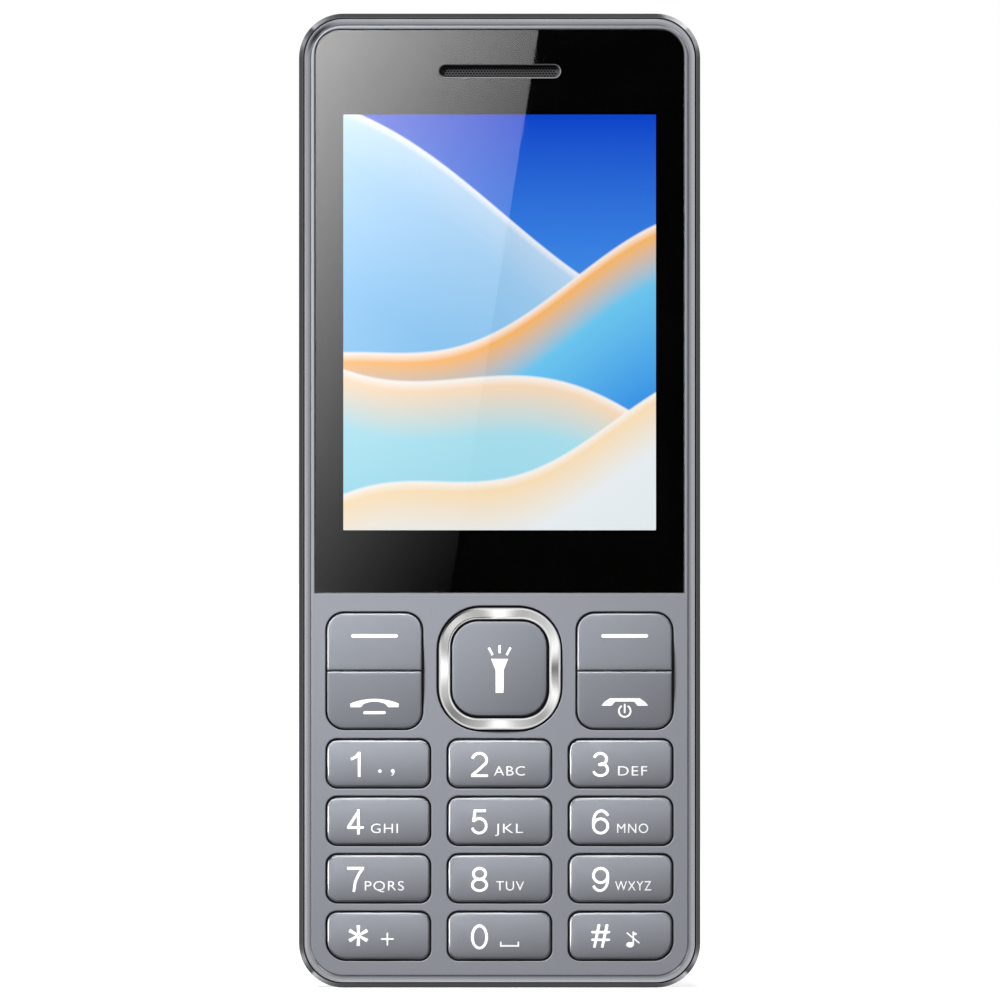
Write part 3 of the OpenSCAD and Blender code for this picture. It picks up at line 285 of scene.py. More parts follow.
def lit_picture():
    """The screen's picture: hills of blue glass with warm rims under a deep blue sky."""
    finish = Finish("lit_picture")
    x, _, z = finish.axes()
    left, foot, right, top = lit_area()
    across = finish.spread(x, 0.0, 1.0, left * MM, right * MM)
    up = finish.spread(z, 0.0, 1.0, foot * MM, top * MM)
    picture = finish.ramp(up, [
        (0.35, (0.30, 0.62, 0.90, 1)), (0.62, (0.05, 0.26, 0.84, 1)), (1.0, (0.004, 0.06, 0.62, 1)),
    ])
    # Each hill: height at the left, slope, height and number of its waves, their phase, its colours
    hills = (
        (0.98, -0.42, 0.05, 0.7, 0.9, ((0.5, 0.7, 0.92), (0.35, 0.62, 0.90), (0.22, 0.54, 0.88))),
        (0.40, 0.28, 0.06, 0.8, 2.6, ((1.0, 0.50, 0.14), (0.16, 0.60, 0.92), (0.03, 0.28, 0.84))),
        (0.46, -0.24, 0.07, 0.7, 4.6, ((0.98, 0.74, 0.52), (0.42, 0.78, 0.90), (0.30, 0.72, 0.88))),
        (0.04, 0.26, 0.05, 0.9, 1.4, ((1.0, 0.78, 0.50), (0.86, 0.91, 0.94), (0.80, 0.88, 0.93))),
    )
    for base, slope, swing, waves, phase, (rim, body, deep) in hills:
        angle = finish.math("MULTIPLY_ADD", across, waves * 2 * math.pi, phase)
        wave = finish.math("MULTIPLY", finish.math("SINE", angle), swing)
        ridge = finish.math("ADD", finish.math("MULTIPLY_ADD", across, slope, base), wave)
        below = finish.math("SUBTRACT", ridge, up)
        cover = finish.spread(below, 0.0, 1.0, 0.0, 0.006)
        tone = finish.ramp(finish.spread(below, 0.0, 1.0, 0.0, 0.45), [
            (0.0, WHITE), (0.06, rim + (1,)), (0.32, body + (1,)), (1.0, deep + (1,)),
        ])
        picture = finish.blend(cover, picture, tone)
    return finish.put({
        "Base Color": (0.0, 0.0, 0.0, 1.0),
        "Roughness": 0.5,
        "Specular IOR Level": 0.0,
        "Emission Color": picture,
        "Emission Strength": 1.0,
    })


def lit_area():
    """The lit part of the screen."""
    left, foot, right, top = PANEL[:4]
    return left + SCREEN_BORDER, foot + SCREEN_FOOT, right - SCREEN_BORDER, top - SCREEN_BORDER


# Mesh making
ARC = 10
SHARP_FROM = math.radians(40)
SOFTEN_FROM = math.radians(50)
UPRIGHT = (math.pi / 2, 0.0, 0.0)


def linked(name, data):
    """A new object in the scene."""
    made = bpy.data.objects.new(name, data)
    bpy.context.scene.collection.objects.link(made)
    return made


def centred(x, v, w, h):
    return x - w / 2, v - h / 2, x + w / 2, v + h / 2


def circle(x, y, r, count=32):
    angles = [2 * math.pi * i / count for i in range(count)]
    return [(x + r * math.cos(a), y + r * math.sin(a)) for a in angles]


def four(radii):
    """One radius for each corner, where only one may be given for all."""
    return radii if isinstance(radii, tuple) else (radii,) * 4


def outline(box, radii, arc=ARC, along=1):
    """Points round a rectangle with rounded corners, anticlockwise from the lower left.

    The radii are those of the lower-left, lower-right, upper-right and upper-left corners.
    """
    x0, v0, x1, v1 = box[:4]
    corners = ((x0, v0, 1, 1), (x1, v0, -1, 1), (x1, v1, -1, -1), (x0, v1, 1, -1))
    runs = []
    for turn, ((x, v, to_x, to_v), r) in enumerate(zip(corners, four(radii))):
        angles = [math.pi * (1 + turn / 2 + step / arc / 2) for step in range(arc + 1)]
        runs.append([(x + r * (to_x + math.cos(a)), v + r * (to_v + math.sin(a))) for a in angles])
    points = []
    for run, following in zip(runs, runs[1:] + runs[:1]):
        points += run
        (xa, va), (xb, vb) = run[-1], following[0]
        points += [(xa + (xb - xa) * s / along, va + (vb - va) * s / along) for s in range(1, along)]
    return points


def inset_outline(box, radii, inset, **steps):
    """The outline drawn in by inset; a negative inset draws it out."""
    return outline(grown(box, -inset), tuple(max(SHARP_R / 2, r - inset) for r in four(radii)), **steps)


def body_outline(inset):
    return inset_outline(BODY, CORNER_R, inset, arc=16)


def ring_of(bm, points, depth):
    level = depth if callable(depth) else lambda x, v: depth
    return [bm.verts.new(spot(x, v, level(x, v))) for x, v in points]


def skin(bm, rings, material=0):
    """Faces between rings that follow one another."""
    for lower, upper in zip(rings, rings[1:]):
        for i in range(len(lower)):
            face = bm.faces.new((lower[i - 1], lower[i], upper[i], upper[i - 1]))
            face.material_index = material
            face.smooth = True


def cap(bm, ring, material=0):
    bm.faces.new(ring).material_index = material


def closed_skin(bm, rings, material=0):
    """Faces between rings, with a flat face on each end."""
    skin(bm, rings, material)
    cap(bm, rings[0], material)
    cap(bm, rings[-1], material)


def fill_between(bm, loops):
    """A flat face between an outer loop and the loops of its openings."""
    edges = [bm.edges.get((loop[i - 1], loop[i])) for loop in loops for i in range(len(loop))]
    made = bmesh.ops.triangle_fill(bm, edges=edges, use_beauty=True, normal=(0, -1, 0))
    for face in made["geom"]:
        if isinstance(face, bmesh.types.BMFace):
            face.material_index = 0
            face.smooth = False


def pierced(bm, loops):
    """A plate whose rim and openings each follow a profile of rings from its front to its back.

    A ring may name the material of the strip that leads to it.
    """
    fronts, backs = [], []
    for rings in loops:
        made = [ring_of(bm, ring[0], ring[1]) for ring in rings]
        for strip, ring in zip(zip(made, made[1:]), rings[1:]):
            skin(bm, strip, ring[2] if len(ring) > 2 else 0)
        fronts.append(made[0])
        backs.append(made[-1])
    fill_between(bm, fronts)
    fill_between(bm, backs)


def rounding(edge, steps=5):
    """Pairs of inset and drop along a rounded edge, from the face to the wall."""
    turns = [math.pi / 2 * step / steps for step in range(steps + 1)]
    return [(edge * (1 - math.sin(turn)), edge * (1 - math.cos(turn))) for turn in turns]


def rounded_edge(box, radii, front, back, edge, side, **steps):
    """Rings along the round front edge of a rim, or with side -1 of an opening."""
    toward = 1 if front > back else -1
    return [(inset_outline(box, radii, side * inset, **steps), front - toward * drop)
            for inset, drop in rounding(edge)]


def opening(box, radii, front, back, edge=PLATE_EDGE, after=(), **steps):
    """Rings of an opening in a plate, from the plate's front; after lists further insets and depths."""
    rings = rounded_edge(box, radii, front, back, edge, -1, **steps)
    rings.append((inset_outline(box, radii, 0, **steps), after[0][1] if after else back))
    for inset, depth in after:
        rings.append((inset_outline(box, radii, inset, **steps), depth))
    return rings


def rim(box, radii, front, back, edge, **steps):
    """Rings of a plate's own rim, from its front to its back."""
    rings = rounded_edge(box, radii, front, back, edge, 1, **steps)
    rings.append((inset_outline(box, radii, 0, **steps), back))
    return rings


def lathe(bm, centre, profile, count=64, material=0):
    """A turned solid about the depth axis; the profile is pairs of radius and depth."""
    closed_skin(bm, [ring_of(bm, circle(*centre, r, count), depth) for r, depth in profile], material)


def slab(bm, box, r, front, back, edge):
    """A closed block with rounded outline and softened front and back edges."""
    near = rim(box, r, front, (front + back) / 2, edge)
    far = rim(box, r, back, (front + back) / 2, edge)
    closed_skin(bm, [ring_of(bm, points, depth) for points, depth in near + far[-2::-1]])


def prism(bm, points, front, back):
    closed_skin(bm, [ring_of(bm, points, depth) for depth in (front, back)])


def drill_along_v(bm, section, v0, v1):
    """A cutter along the height with a section of x and depth points."""
    closed_skin(bm, [[bm.verts.new(spot(x, v, depth)) for x, depth in section] for v in (v0, v1)])


def mesh_object(name, bm, materials):
    """An object from a mesh under construction; edges past an angle are sharp."""
    bmesh.ops.recalc_face_normals(bm, faces=bm.faces)
    smooth = [face.smooth for face in bm.faces]
    mesh = bpy.data.meshes.new(name)
    bm.to_mesh(mesh)
    bm.free()
    for material in materials:
        mesh.materials.append(material)
    mesh.set_sharp_from_angle(angle=SHARP_FROM)
    for polygon, is_smooth in zip(mesh.polygons, smooth):
        polygon.use_smooth = is_smooth
    return linked(name, mesh)


def fixed(made, slot, body=PHONE, stands_for=None):
    """Gives a finished piece its body and hides the node that it stands for; the slot is not used."""
    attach(made, body)
    if stands_for:
        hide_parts(stands_for)


def piece(name, bm, materials, slot, body=PHONE, stands_for=None):
    """A finished piece from a mesh under construction."""
    made = mesh_object(name, bm, materials)
    fixed(made, slot, body, stands_for)
    return made


def plain_mesh(made):
    """Turns what the piece's modifiers give into its own mesh."""
    bpy.context.view_layer.update()
    seen = made.evaluated_get(bpy.context.evaluated_depsgraph_get())
    mesh = bpy.data.meshes.new_from_object(seen)
    made.modifiers.clear()
    made.data = mesh
    mesh.name = made.name


def carve(made, cutter, edge):
    """Cuts the cutter out of a piece and softens the new edges."""
    tool = mesh_object(made.name + "_cutter", cutter, made.data.materials[:1])
    cut = made.modifiers.new("cut", "BOOLEAN")
    cut.object = tool
    cut.operation = "DIFFERENCE"
    cut.solver = "EXACT"
    soft = made.modifiers.new("soft", "BEVEL")
    soft.width = edge * MM
    soft.segments = 2
    soft.limit_method = "ANGLE"
    soft.angle_limit = SOFTEN_FROM
    plain_mesh(made)
    bpy.data.objects.remove(tool)
    made.data.set_sharp_from_angle(angle=SHARP_FROM)
    even = made.modifiers.new("even", "WEIGHTED_NORMAL")
    even.keep_sharp = True
    even.weight = 100
    plain_mesh(made)


# Shells
BAND_EDGE = 0.12
BAND_CUT_EDGE = 0.1
USB_ROOM = 0.3
USB_R = 0.95
JACK_LEAD = 0.4
JACK_R = 1.8
JACK_WALL = 0.7
MIC_HOLE_R = 0.5
BOTTOM_CUT = (-1, 2)
TOP_CUT = (BODY[3] - 2, BODY[3] + 1)


def side_band():
    """Dark band round the sides, with its holes for the two sockets and the microphone."""
    bm = bmesh.new()
    front, back = BODY[4], BODY[5]
    shoulder = front - BAND_SLOPE
    profile = [(BAND_T, back), (BAND_EDGE, back), (0.0, back + BAND_EDGE)]
    profile += [(0.0, shoulder - 0.06), (0.02, shoulder)]
    profile += [(BAND_LIP - 0.04, front - 0.03), (BAND_LIP, front), (BAND_LIP + 0.03, front - 0.06)]
    profile += [(BAND_T, front - BAND_GROOVE)]
    rings = [ring_of(bm, body_outline(inset), depth) for inset, depth in profile]
    skin(bm, rings + rings[:1])
    band = mesh_object("side_band_shell", bm, [band_gunmetal])
    cutter = bmesh.new()
    jack_x, _ = middle(JACK)
    jack_depth = JACK[5] + JACK_R + JACK_WALL
    drill_along_v(cutter, circle(jack_x, jack_depth, JACK_R + JACK_LEAD), *TOP_CUT)
    usb_box = grown((USB[0], USB[5], USB[2], USB[4]), USB_ROOM)
    drill_along_v(cutter, outline(usb_box, USB_R, 6), *BOTTOM_CUT)
    mic_x, _ = middle(MICROPHONE)
    mic_depth = (MICROPHONE[4] + MICROPHONE[5]) / 2
    drill_along_v(cutter, circle(mic_x, mic_depth, MIC_HOLE_R, 16), *BOTTOM_CUT)
    carve(band, cutter, BAND_CUT_EDGE)
    fixed(band, "band_metal", stands_for="side_band")


NUMBER_KEYS = ("key_1", "key_2", "key_3", "key_4", "key_5", "key_6", "key_7", "key_8", "key_9",
               "key_star", "key_0", "key_hash")
FUNCTION_KEYS = ("left_soft_key", "call_key", "right_soft_key", "end_key")


def number_radii(name):
    lower_left = CORNER_KEY_R if name == "key_star" else NUMBER_R
    lower_right = CORNER_KEY_R if name == "key_hash" else NUMBER_R
    return lower_left, lower_right, NUMBER_R, NUMBER_R


def function_block(side):
    """Cap area of the two function keys on one side."""
    upper, lower = ("left_soft_key", "call_key") if side < 0 else ("right_soft_key", "end_key")
    top, low = seat(upper), seat(lower)
    return low[0] + FLANGE, low[1] + FLANGE, low[2] - FLANGE, top[3] - FLANGE


def front_shell():
    """Front plate with its openings, the cove round it and the housing's walls."""
    bm = bmesh.new()
    outer = [(body_outline(PLATE_INSET + inset), PLATE_FRONT - drop) for inset, drop in rounding(PLATE_EDGE)]
    wall_inset = HOUSING[0] - BODY[0]
    cove_w, cove_h = PLATE_INSET - wall_inset, COVE_TOP - COVE_FOOT
    for step in range(COVE_STEPS + 1):
        turn = math.pi / 2 * (1 - step / COVE_STEPS)
        depth = COVE_TOP - cove_h * math.cos(turn)
        outer.append((body_outline(wall_inset + cove_w * math.sin(turn)), depth, 1))
    outer += [(body_outline(wall_inset), HOUSING[5]), (body_outline(CAVITY_INSET), HOUSING[5])]
    outer.append((body_outline(CAVITY_INSET), PLATE_UNDER))
    loops = [outer]
    for name in NUMBER_KEYS:
        radii = tuple(r + KEY_GAP for r in number_radii(name))
        loops.append(opening(grown(seat(name), KEY_GAP - FLANGE), radii, PLATE_FRONT, PLATE_UNDER))
    for side in (-1, 1):
        box = grown(function_block(side), KEY_GAP)
        loops.append(opening(box, FUNCTION_R + KEY_GAP, PLATE_FRONT, PLATE_UNDER))
    nav_box = grown(RING, KEY_GAP - FLANGE)
    loops.append(opening(nav_box, RING_R + KEY_GAP, PLATE_FRONT, PLATE_UNDER))
    front, back = WINDOW[5] - SHELF_FRONT, WINDOW[5] - SHELF_BACK
    shelf = [(0, front), (SHELF_W, front), (SHELF_W, back), (-SHELF_ROOM, back), (-SHELF_ROOM, PLATE_UNDER)]
    radii = (SHARP_R, SHARP_R, WINDOW_R, WINDOW_R)
    loops.append(opening(grown(WINDOW, FIT), radii, PLATE_FRONT, PLATE_UNDER, RECESS_EDGE, shelf))
    pierced(bm, loops)
    piece("front_shell", bm, [plate_paint, cove_metal], "front_paint", stands_for="front_housing")


ISLAND = (22.0, 10.0)
ISLAND_ROOM = 0.3
CAMERA_V = middle(CAMERA)[1]
SOUND_SLOTS = 5
SOUND_PITCH = 2.4
SOUND_SLOT = (13.0, 1.2)
PRY_R = 5.0
PRY_X = -13.75
PRY_DEPTH = 0.95
COVER_CUT_EDGE = 0.16
COVER_RIM_EDGE = 0.1
HOOK_X = 25.8
HOOK_V = (32.04, 70.755, 106.8)
HOOK = (0.8, 4.0)
HOOK_R = 0.15
HOOK_EDGE = 0.12


def battery_cover():
    """Back shell with its round edge, camera opening, sound slots, pry notch and hooks."""
    bm = bmesh.new()
    front, back = COVER[4], COVER[5]
    rim_depth = BODY[5] - FIT
    profile = [(COVER_WALL, rim_depth), (COVER_RIM_EDGE, rim_depth), (0.0, rim_depth - COVER_RIM_EDGE)]
    profile += [(inset, back + drop) for inset, drop in reversed(rounding(COVER_EDGE_R, 12))]
    outer = [ring_of(bm, body_outline(inset), depth) for inset, depth in profile]
    inner_profile = [(COVER_WALL, rim_depth - 1.2), (COVER_WALL + 0.3, back + COVER_T + 0.1),
                     (COVER_WALL + 0.6, back + COVER_T)]
    inner = [ring_of(bm, body_outline(inset), depth) for inset, depth in inner_profile]
    skin(bm, inner[::-1] + outer)
    cap(bm, outer[-1])
    cap(bm, inner[-1])
    cover = mesh_object("battery_cover_shell", bm, [cover_paint])
    cutter = bmesh.new()
    through = (back - 1, back + 2)
    island = centred(0, CAMERA_V, ISLAND[0] + 2 * ISLAND_ROOM, ISLAND[1] + 2 * ISLAND_ROOM)
    prism(cutter, outline(island, ISLAND[1] / 2 + ISLAND_ROOM - 0.01, 16), *through)
    speaker_x, speaker_v = middle(SPEAKER)
    for i in range(SOUND_SLOTS):
        v = speaker_v + (i - (SOUND_SLOTS - 1) / 2) * SOUND_PITCH
        prism(cutter, outline(centred(speaker_x, v, *SOUND_SLOT), SOUND_SLOT[1] / 2 - 0.01, 8), *through)
    drill_along_v(cutter, circle(PRY_X, PRY_DEPTH, PRY_R, 96), *BOTTOM_CUT)
    carve(cover, cutter, COVER_CUT_EDGE)
    grip = bmesh.new()
    grip.from_mesh(cover.data)
    for side in (-1, 1):
        for v in HOOK_V:
            slab(grip, centred(side * HOOK_X, v, *HOOK), HOOK_R, front, back + COVER_T - 0.05, HOOK_EDGE)
    grip.to_mesh(cover.data)
    grip.free()
    fixed(cover, "cover_paint", "battery_cover", "battery_cover")


# Window and screen
PRINT_T = 0.1
PRINT_GAP = 0.02
PRINT_EDGE = 0.01
GLASS_EDGE = 0.12
EAR_EDGE = 0.16
PANEL_R = 0.4
PANEL_EDGE = 0.1


def window_parts():
    """Clear window, the black print behind it and the lit panel."""
    radii = (SHARP_R, SHARP_R, WINDOW_R - FIT, WINDOW_R - FIT)
    ear = centred(*middle(EAR_MESH), *EAR_SLOT)
    ear_r = EAR_SLOT[1] / 2 - 0.01
    glass_back = WINDOW[5] + PRINT_T
    slot_wall = [(points, depth, 1) for points, depth in opening(ear, ear_r, WINDOW[4], glass_back, EAR_EDGE)]
    bm = bmesh.new()
    pierced(bm, [rim(WINDOW, radii, WINDOW[4], glass_back, GLASS_EDGE), slot_wall])
    piece("window_pane", bm, [window_glass, ground_edge], "window_glass", stands_for="display_window")
    bm = bmesh.new()
    layer = (glass_back - PRINT_GAP, WINDOW[5], PRINT_EDGE)
    pierced(bm, [
        rim(grown(WINDOW, -FIT), radii, *layer),
        opening(lit_area(), SHARP_R, *layer),
        opening(grown(ear, PRINT_GAP), ear_r, *layer),
    ])
    piece("window_print", bm, [print_black], "black_tape")
    bm = bmesh.new()
    slab(bm, PANEL[:4], PANEL_R, PANEL[4], PANEL[5], PANEL_EDGE)
    piece("lit_panel", bm, [lit_picture()], "screen_glass", stands_for="display_panel")


def perforated_tree():
    """Upright sheet with round ends and staggered round holes."""
    tree = bpy.data.node_groups.new("perforated_sheet", "GeometryNodeTree")
    face = tree.interface
    face.new_socket("Geometry", in_out="OUTPUT", socket_type="NodeSocketGeometry")
    for name in ("Length", "Height", "Column Pitch", "Row Pitch", "Hole Radius", "Thickness"):
        face.new_socket(name, in_out="INPUT", socket_type="NodeSocketFloat")
    for name in ("Columns", "Rows"):
        face.new_socket(name, in_out="INPUT", socket_type="NodeSocketInt")
    face.new_socket("Offset", in_out="INPUT", socket_type="NodeSocketVector")
    face.new_socket("Finish", in_out="INPUT", socket_type="NodeSocketMaterial")
    given = tree.nodes.new("NodeGroupInput").outputs

    node = Nodes(tree).add

    def times(first, second):
        return node("Math", {0: first, 1: second}, operation="MULTIPLY")

    def less_one(count):
        return node("Math", {0: count, 1: 1.0}, operation="SUBTRACT")

    def hole_places(columns, rows):
        wide = times(less_one(columns), given["Column Pitch"])
        tall = times(less_one(rows), times(given["Row Pitch"], 2.0))
        sides = {"Size X": wide, "Size Y": tall, "Vertices X": columns, "Vertices Y": rows}
        return node("GeometryNodeMeshGrid", sides)

    hole = node("GeometryNodeCurvePrimitiveCircle", {"Resolution": 10, "Radius": given["Hole Radius"]})
    one_more = node("Math", {0: given["Columns"], 1: 1.0}, operation="ADD")
    outer_rows = hole_places(given["Columns"], given["Rows"])
    between_rows = hole_places(one_more, less_one(given["Rows"]))
    places = node("GeometryNodeJoinGeometry", {"Geometry": [outer_rows, between_rows]})
    holes = node("GeometryNodeInstanceOnPoints", {"Points": places, "Instance": hole})
    loose = node("GeometryNodeRealizeInstances", {"Geometry": holes})
    sides = {"Width": given["Length"], "Height": given["Height"]}
    edge = node("GeometryNodeCurvePrimitiveQuadrilateral", sides)
    half_height = times(given["Height"], 0.499)
    round_ends = {"Curve": edge, "Count": 12, "Radius": half_height, "Limit Radius": True}
    pill = node("GeometryNodeFilletCurve", round_ends, mode="POLY")
    both = node("GeometryNodeJoinGeometry", {"Geometry": [pill, loose]})
    sheet = node("GeometryNodeFillCurve", {"Curve": both})
    lift = node("CombineXYZ", {"Z": 1.0})
    raised = {"Mesh": sheet, "Offset": lift, "Offset Scale": given["Thickness"], "Individual": False}
    top = node("GeometryNodeExtrudeMesh", raised)
    bottom = node("GeometryNodeFlipFaces", {"Mesh": sheet})
    solid = node("GeometryNodeJoinGeometry", {"Geometry": [top, bottom]})
    closed = node("GeometryNodeMergeByDistance", {"Geometry": solid, "Distance": 1e-7})
    turned = {"Geometry": closed, "Translation": given["Offset"], "Rotation": UPRIGHT}
    upright = node("GeometryNodeTransform", turned)
    real = node("GeometryNodeRealizeInstances", {"Geometry": upright})
    painted = node("GeometryNodeSetMaterial", {"Geometry": real, "Material": given["Finish"]})
    tree.links.new(painted, tree.nodes.new("NodeGroupOutput").inputs[0])
    return tree


def tree_piece(name, tree, values):
    """A piece made by a node tree, as a plain mesh."""
    made = linked(name, bpy.data.meshes.new(name))
    maker = made.modifiers.new("maker", "NODES")
    maker.node_group = tree
    for socket in tree.interface.items_tree:
        if socket.in_out == "INPUT" and socket.name in values:
            maker[socket.identifier] = values[socket.name]
    plain_mesh(made)
    return made


MESH_T = 0.15
MESH_PITCH = (0.412, 0.33)
MESH_HOLE_R = 0.145
MESH_HOLES = (37, 3)
CLOTH_BACK = 0.4
CLOTH_ROOM = 0.2
CLOTH_R = 0.7
CLOTH_EDGE = 0.05


def earpiece():
    """Perforated mesh in the earpiece slot, and the dark cloth behind it."""
    x, v = middle(EAR_MESH)
    made = tree_piece("earpiece_grille", perforated_tree(), {
        "Length": (EAR_SLOT[0] - FIT) * MM,
        "Height": (EAR_SLOT[1] - FIT) * MM,
        "Column Pitch": MESH_PITCH[0] * MM,
        "Row Pitch": MESH_PITCH[1] * MM,
        "Hole Radius": MESH_HOLE_R * MM,
        "Thickness": MESH_T * MM,
        "Columns": MESH_HOLES[0],
        "Rows": MESH_HOLES[1],
        "Offset": spot(x, v, EAR_MESH[4] - MESH_T),
        "Finish": mesh_steel,
    })
    fixed(made, "mesh_steel", stands_for="earpiece_mesh")
    bm = bmesh.new()
    box = centred(x, v, EAR_SLOT[0] - CLOTH_ROOM, EAR_SLOT[1] - CLOTH_ROOM)
    slab(bm, box, CLOTH_R, EAR_MESH[4] - CLOTH_BACK, EAR_MESH[5], CLOTH_EDGE)
    piece("earpiece_cloth", bm, [print_black], "black_foam")


# Keys
NUMBER_BOW = (90.0, 13.0)
FUNCTION_BOW = (80.0, 45.0)
CENTRE_BOW = (44.0, 44.0)
KEY_CREST = PLATE_FRONT + 0.5
BLOCK_CREST = PLATE_FRONT + 0.75
CENTRE_CREST = PLATE_FRONT + 0.85
CROWN_STEP = 0.7
KEY_STEPS = {"arc": 6, "along": 6}
STEM_STEPS = 24
STEM_OVERLAP = 0.1


def arch(centre, crest, bow):
    """Depth of a key's crowned face; bow is its radius across and up."""
    x0, v0 = centre
    return lambda x, v: crest - (x - x0) ** 2 / (2 * bow[0]) - (v - v0) ** 2 / (2 * bow[1])


def slice_up(bm, step, keep=None):
    """Cuts faces into strips of a width both across and up; keep marks the faces to cut."""
    for normal in (Vector((1, 0, 0)), Vector((0, 0, 1))):
        faces = [face for face in bm.faces if keep is None or face[keep]]
        reach = [corner.co.dot(normal) for face in faces for corner in face.verts]
        low, high = min(reach), max(reach)
        for i in range(1, int((high - low) / step) + 1):
            faces = [face for face in bm.faces if keep is None or face[keep]]
            edges = {edge for face in faces for edge in face.edges}
            corners = {corner for face in faces for corner in face.verts}
            geometry = faces + list(edges) + list(corners)
            bmesh.ops.bisect_plane(bm, geom=geometry, plane_co=normal * (low + i * step), plane_no=normal)


def crowned_cap(bm, rim_ring, crown):
    """Closes the top of a key with a net of small faces that follow its crown."""
    mark = bm.faces.layers.int.new("crown")
    face = bm.faces.new(rim_ring)
    face[mark] = 1
    slice_up(bm, CROWN_STEP * MM, mark)
    top = [face for face in bm.faces if face[mark]]
    for corner in {corner for face in top for corner in face.verts}:
        corner.co = spot(corner.co.x / MM, corner.co.z / MM, crown(corner.co.x / MM, corner.co.z / MM))
    for face in top:
        face.smooth = True


key_caps = {}


def key_cap(name, box, radii, flange_box, crown, fillet=KEY_FILLET, flange=(FLANGE_UNDER, FLANGE_TOP)):
    """A key: crowned cap with a round edge, dark skirt, flange and stem."""
    bm = bmesh.new()
    under, top = flange
    wide = outline(flange_box, tuple(r + FLANGE for r in radii), **KEY_STEPS)
    side = inset_outline(box, radii, 0, **KEY_STEPS)
    rings = [
        ring_of(bm, wide, under),
        ring_of(bm, wide, top),
        ring_of(bm, side, top),
        ring_of(bm, side, lambda x, v: crown(x, v) - fillet - SKIRT_DROP),
    ]
    skin(bm, rings, 1)
    cap(bm, rings[0], 1)
    face = rings[-1:]
    for inset, drop in reversed(rounding(fillet)):
        points = inset_outline(box, radii, inset, **KEY_STEPS)
        face.append(ring_of(bm, points, lambda x, v, d=drop: crown(x, v) - d))
    skin(bm, face, 2)
    crowned_cap(bm, face[-1], crown)
    lathe(bm, middle(box), [(STEM_R, seat(name)[5]), (STEM_R, under + STEM_OVERLAP)], STEM_STEPS, 1)
    paint = key_paint if name in NUMBER_KEYS else function_paint_shaded
    key_caps[name] = piece(name + "_cap", bm, [paint, skirt_dark_and_shade, key_edge], "key_paint", name, name)


# Legends
LEGEND_STEP = 0.45
LEGEND_RISE = 0.02
LEGEND_SINK = 0.06
LETTER_THIN = -0.007
LETTER_SPACE = 1.12
# Height of the capitals in the font's own measure
CAPITAL = 0.729


def lettering(text, x, v, w, h):
    """Flat faces of a text about x, v, of a width and of a height of its capitals."""
    font = bpy.data.curves.new("lettering", "FONT")
    font.body = text
    font.resolution_u = 5
    font.offset = LETTER_THIN
    font.space_character = LETTER_SPACE
    holder = linked("lettering", font)
    bpy.context.view_layer.update()
    mesh = bpy.data.meshes.new_from_object(holder.evaluated_get(bpy.context.evaluated_depsgraph_get()))
    xs = [p.co.x for p in mesh.vertices]
    across = max(xs) - min(xs)
    places = [(x + ((p.co.x - min(xs)) / across - 0.5) * w, v + (p.co.y / CAPITAL - 0.5) * h)
              for p in mesh.vertices]
    faces = [[places[i] for i in polygon.vertices] for polygon in mesh.polygons]
    bpy.data.objects.remove(holder)
    bpy.data.curves.remove(font)
    bpy.data.meshes.remove(mesh)
    return faces


def bar(x, v, w, h):
    """A straight line with round ends."""
    return [outline(centred(x, v, w, h), min(w, h) / 2 - 0.005, 5)]


def stroke(x0, v0, x1, v1, w):
    """A straight line with square ends."""
    along = Vector((x1 - x0, v1 - v0)).normalized() * w / 2
    side = Vector((-along.y, along.x))
    return [[(x0 + side.x, v0 + side.y), (x0 - side.x, v0 - side.y),
             (x1 - side.x, v1 - side.y), (x1 + side.x, v1 + side.y)]]


def moved(points, x, v):
    return [(x + px, v + pv) for px, pv in points]


def legend(name, flats, crown):
    """White print on a key, lit by a painted glow: flat faces laid on its crown as a thin closed layer."""
    bm = bmesh.new()
    for points in flats:
        bm.faces.new([bm.verts.new((x, 0, v)) for x, v in points])
    bmesh.ops.remove_doubles(bm, verts=bm.verts, dist=1e-4)
    bmesh.ops.triangulate(bm, faces=bm.faces)
    slice_up(bm, LEGEND_STEP)
    rim_edges = [edge for edge in bm.edges if len(edge.link_faces) == 1]
    faces = bm.faces[:]

    def laid(p, rise):
        return spot(p.co.x, p.co.z, crown(p.co.x, p.co.z) + rise)

    under = {p: bm.verts.new(laid(p, -LEGEND_SINK)) for p in bm.verts[:]}
    for p in under:
        p.co = laid(p, LEGEND_RISE)
    for face in faces:
        bm.faces.new([under[p] for p in reversed(face.verts)])
    for edge in rim_edges:
        a, b = edge.verts
        bm.faces.new((a, b, under[b], under[a]))
    piece(name + "_legend", bm, [legend_white_glow], "key_paint", name)


DIGIT = (2.33, 3.43)
DIGIT_W = 0.36
DIGIT_DROP = 0.12


def trace(points, w, closed=False):
    """Flat faces of a line of even width along points."""
    sides = []
    count = len(points)
    for i, (x, v) in enumerate(points):
        before = points[i - 1] if closed or i else points[i]
        after = points[(i + 1) % count] if closed or i < count - 1 else points[i]
        back, forth = Vector((x, v)) - Vector(before), Vector(after) - Vector((x, v))
        along = (back.normalized() + forth.normalized()).normalized()
        lean = max(0.5, along.dot(forth.normalized() if forth.length else back.normalized()))
        side = Vector((-along.y, along.x)) * w / 2 / lean
        sides.append(((x + side.x, v + side.y), (x - side.x, v - side.y)))
    pairs = list(zip(sides, sides[1:] + (sides[:1] if closed else [])))
    return [[a, b, d, c] for (a, b), (c, d) in pairs]


def curl(x, v, rx, rv, start, end, count=14):
    """Points on an oval from one angle to another."""
    angles = [math.radians(start + (end - start) * i / count) for i in range(count + 1)]
    return [(x + rx * math.cos(a), v + rv * math.sin(a)) for a in angles]


def loop(x, v, rx, rv):
    """Points all round an oval, without the first one again."""
    return curl(x, v, rx, rv, 0, 345, 23)


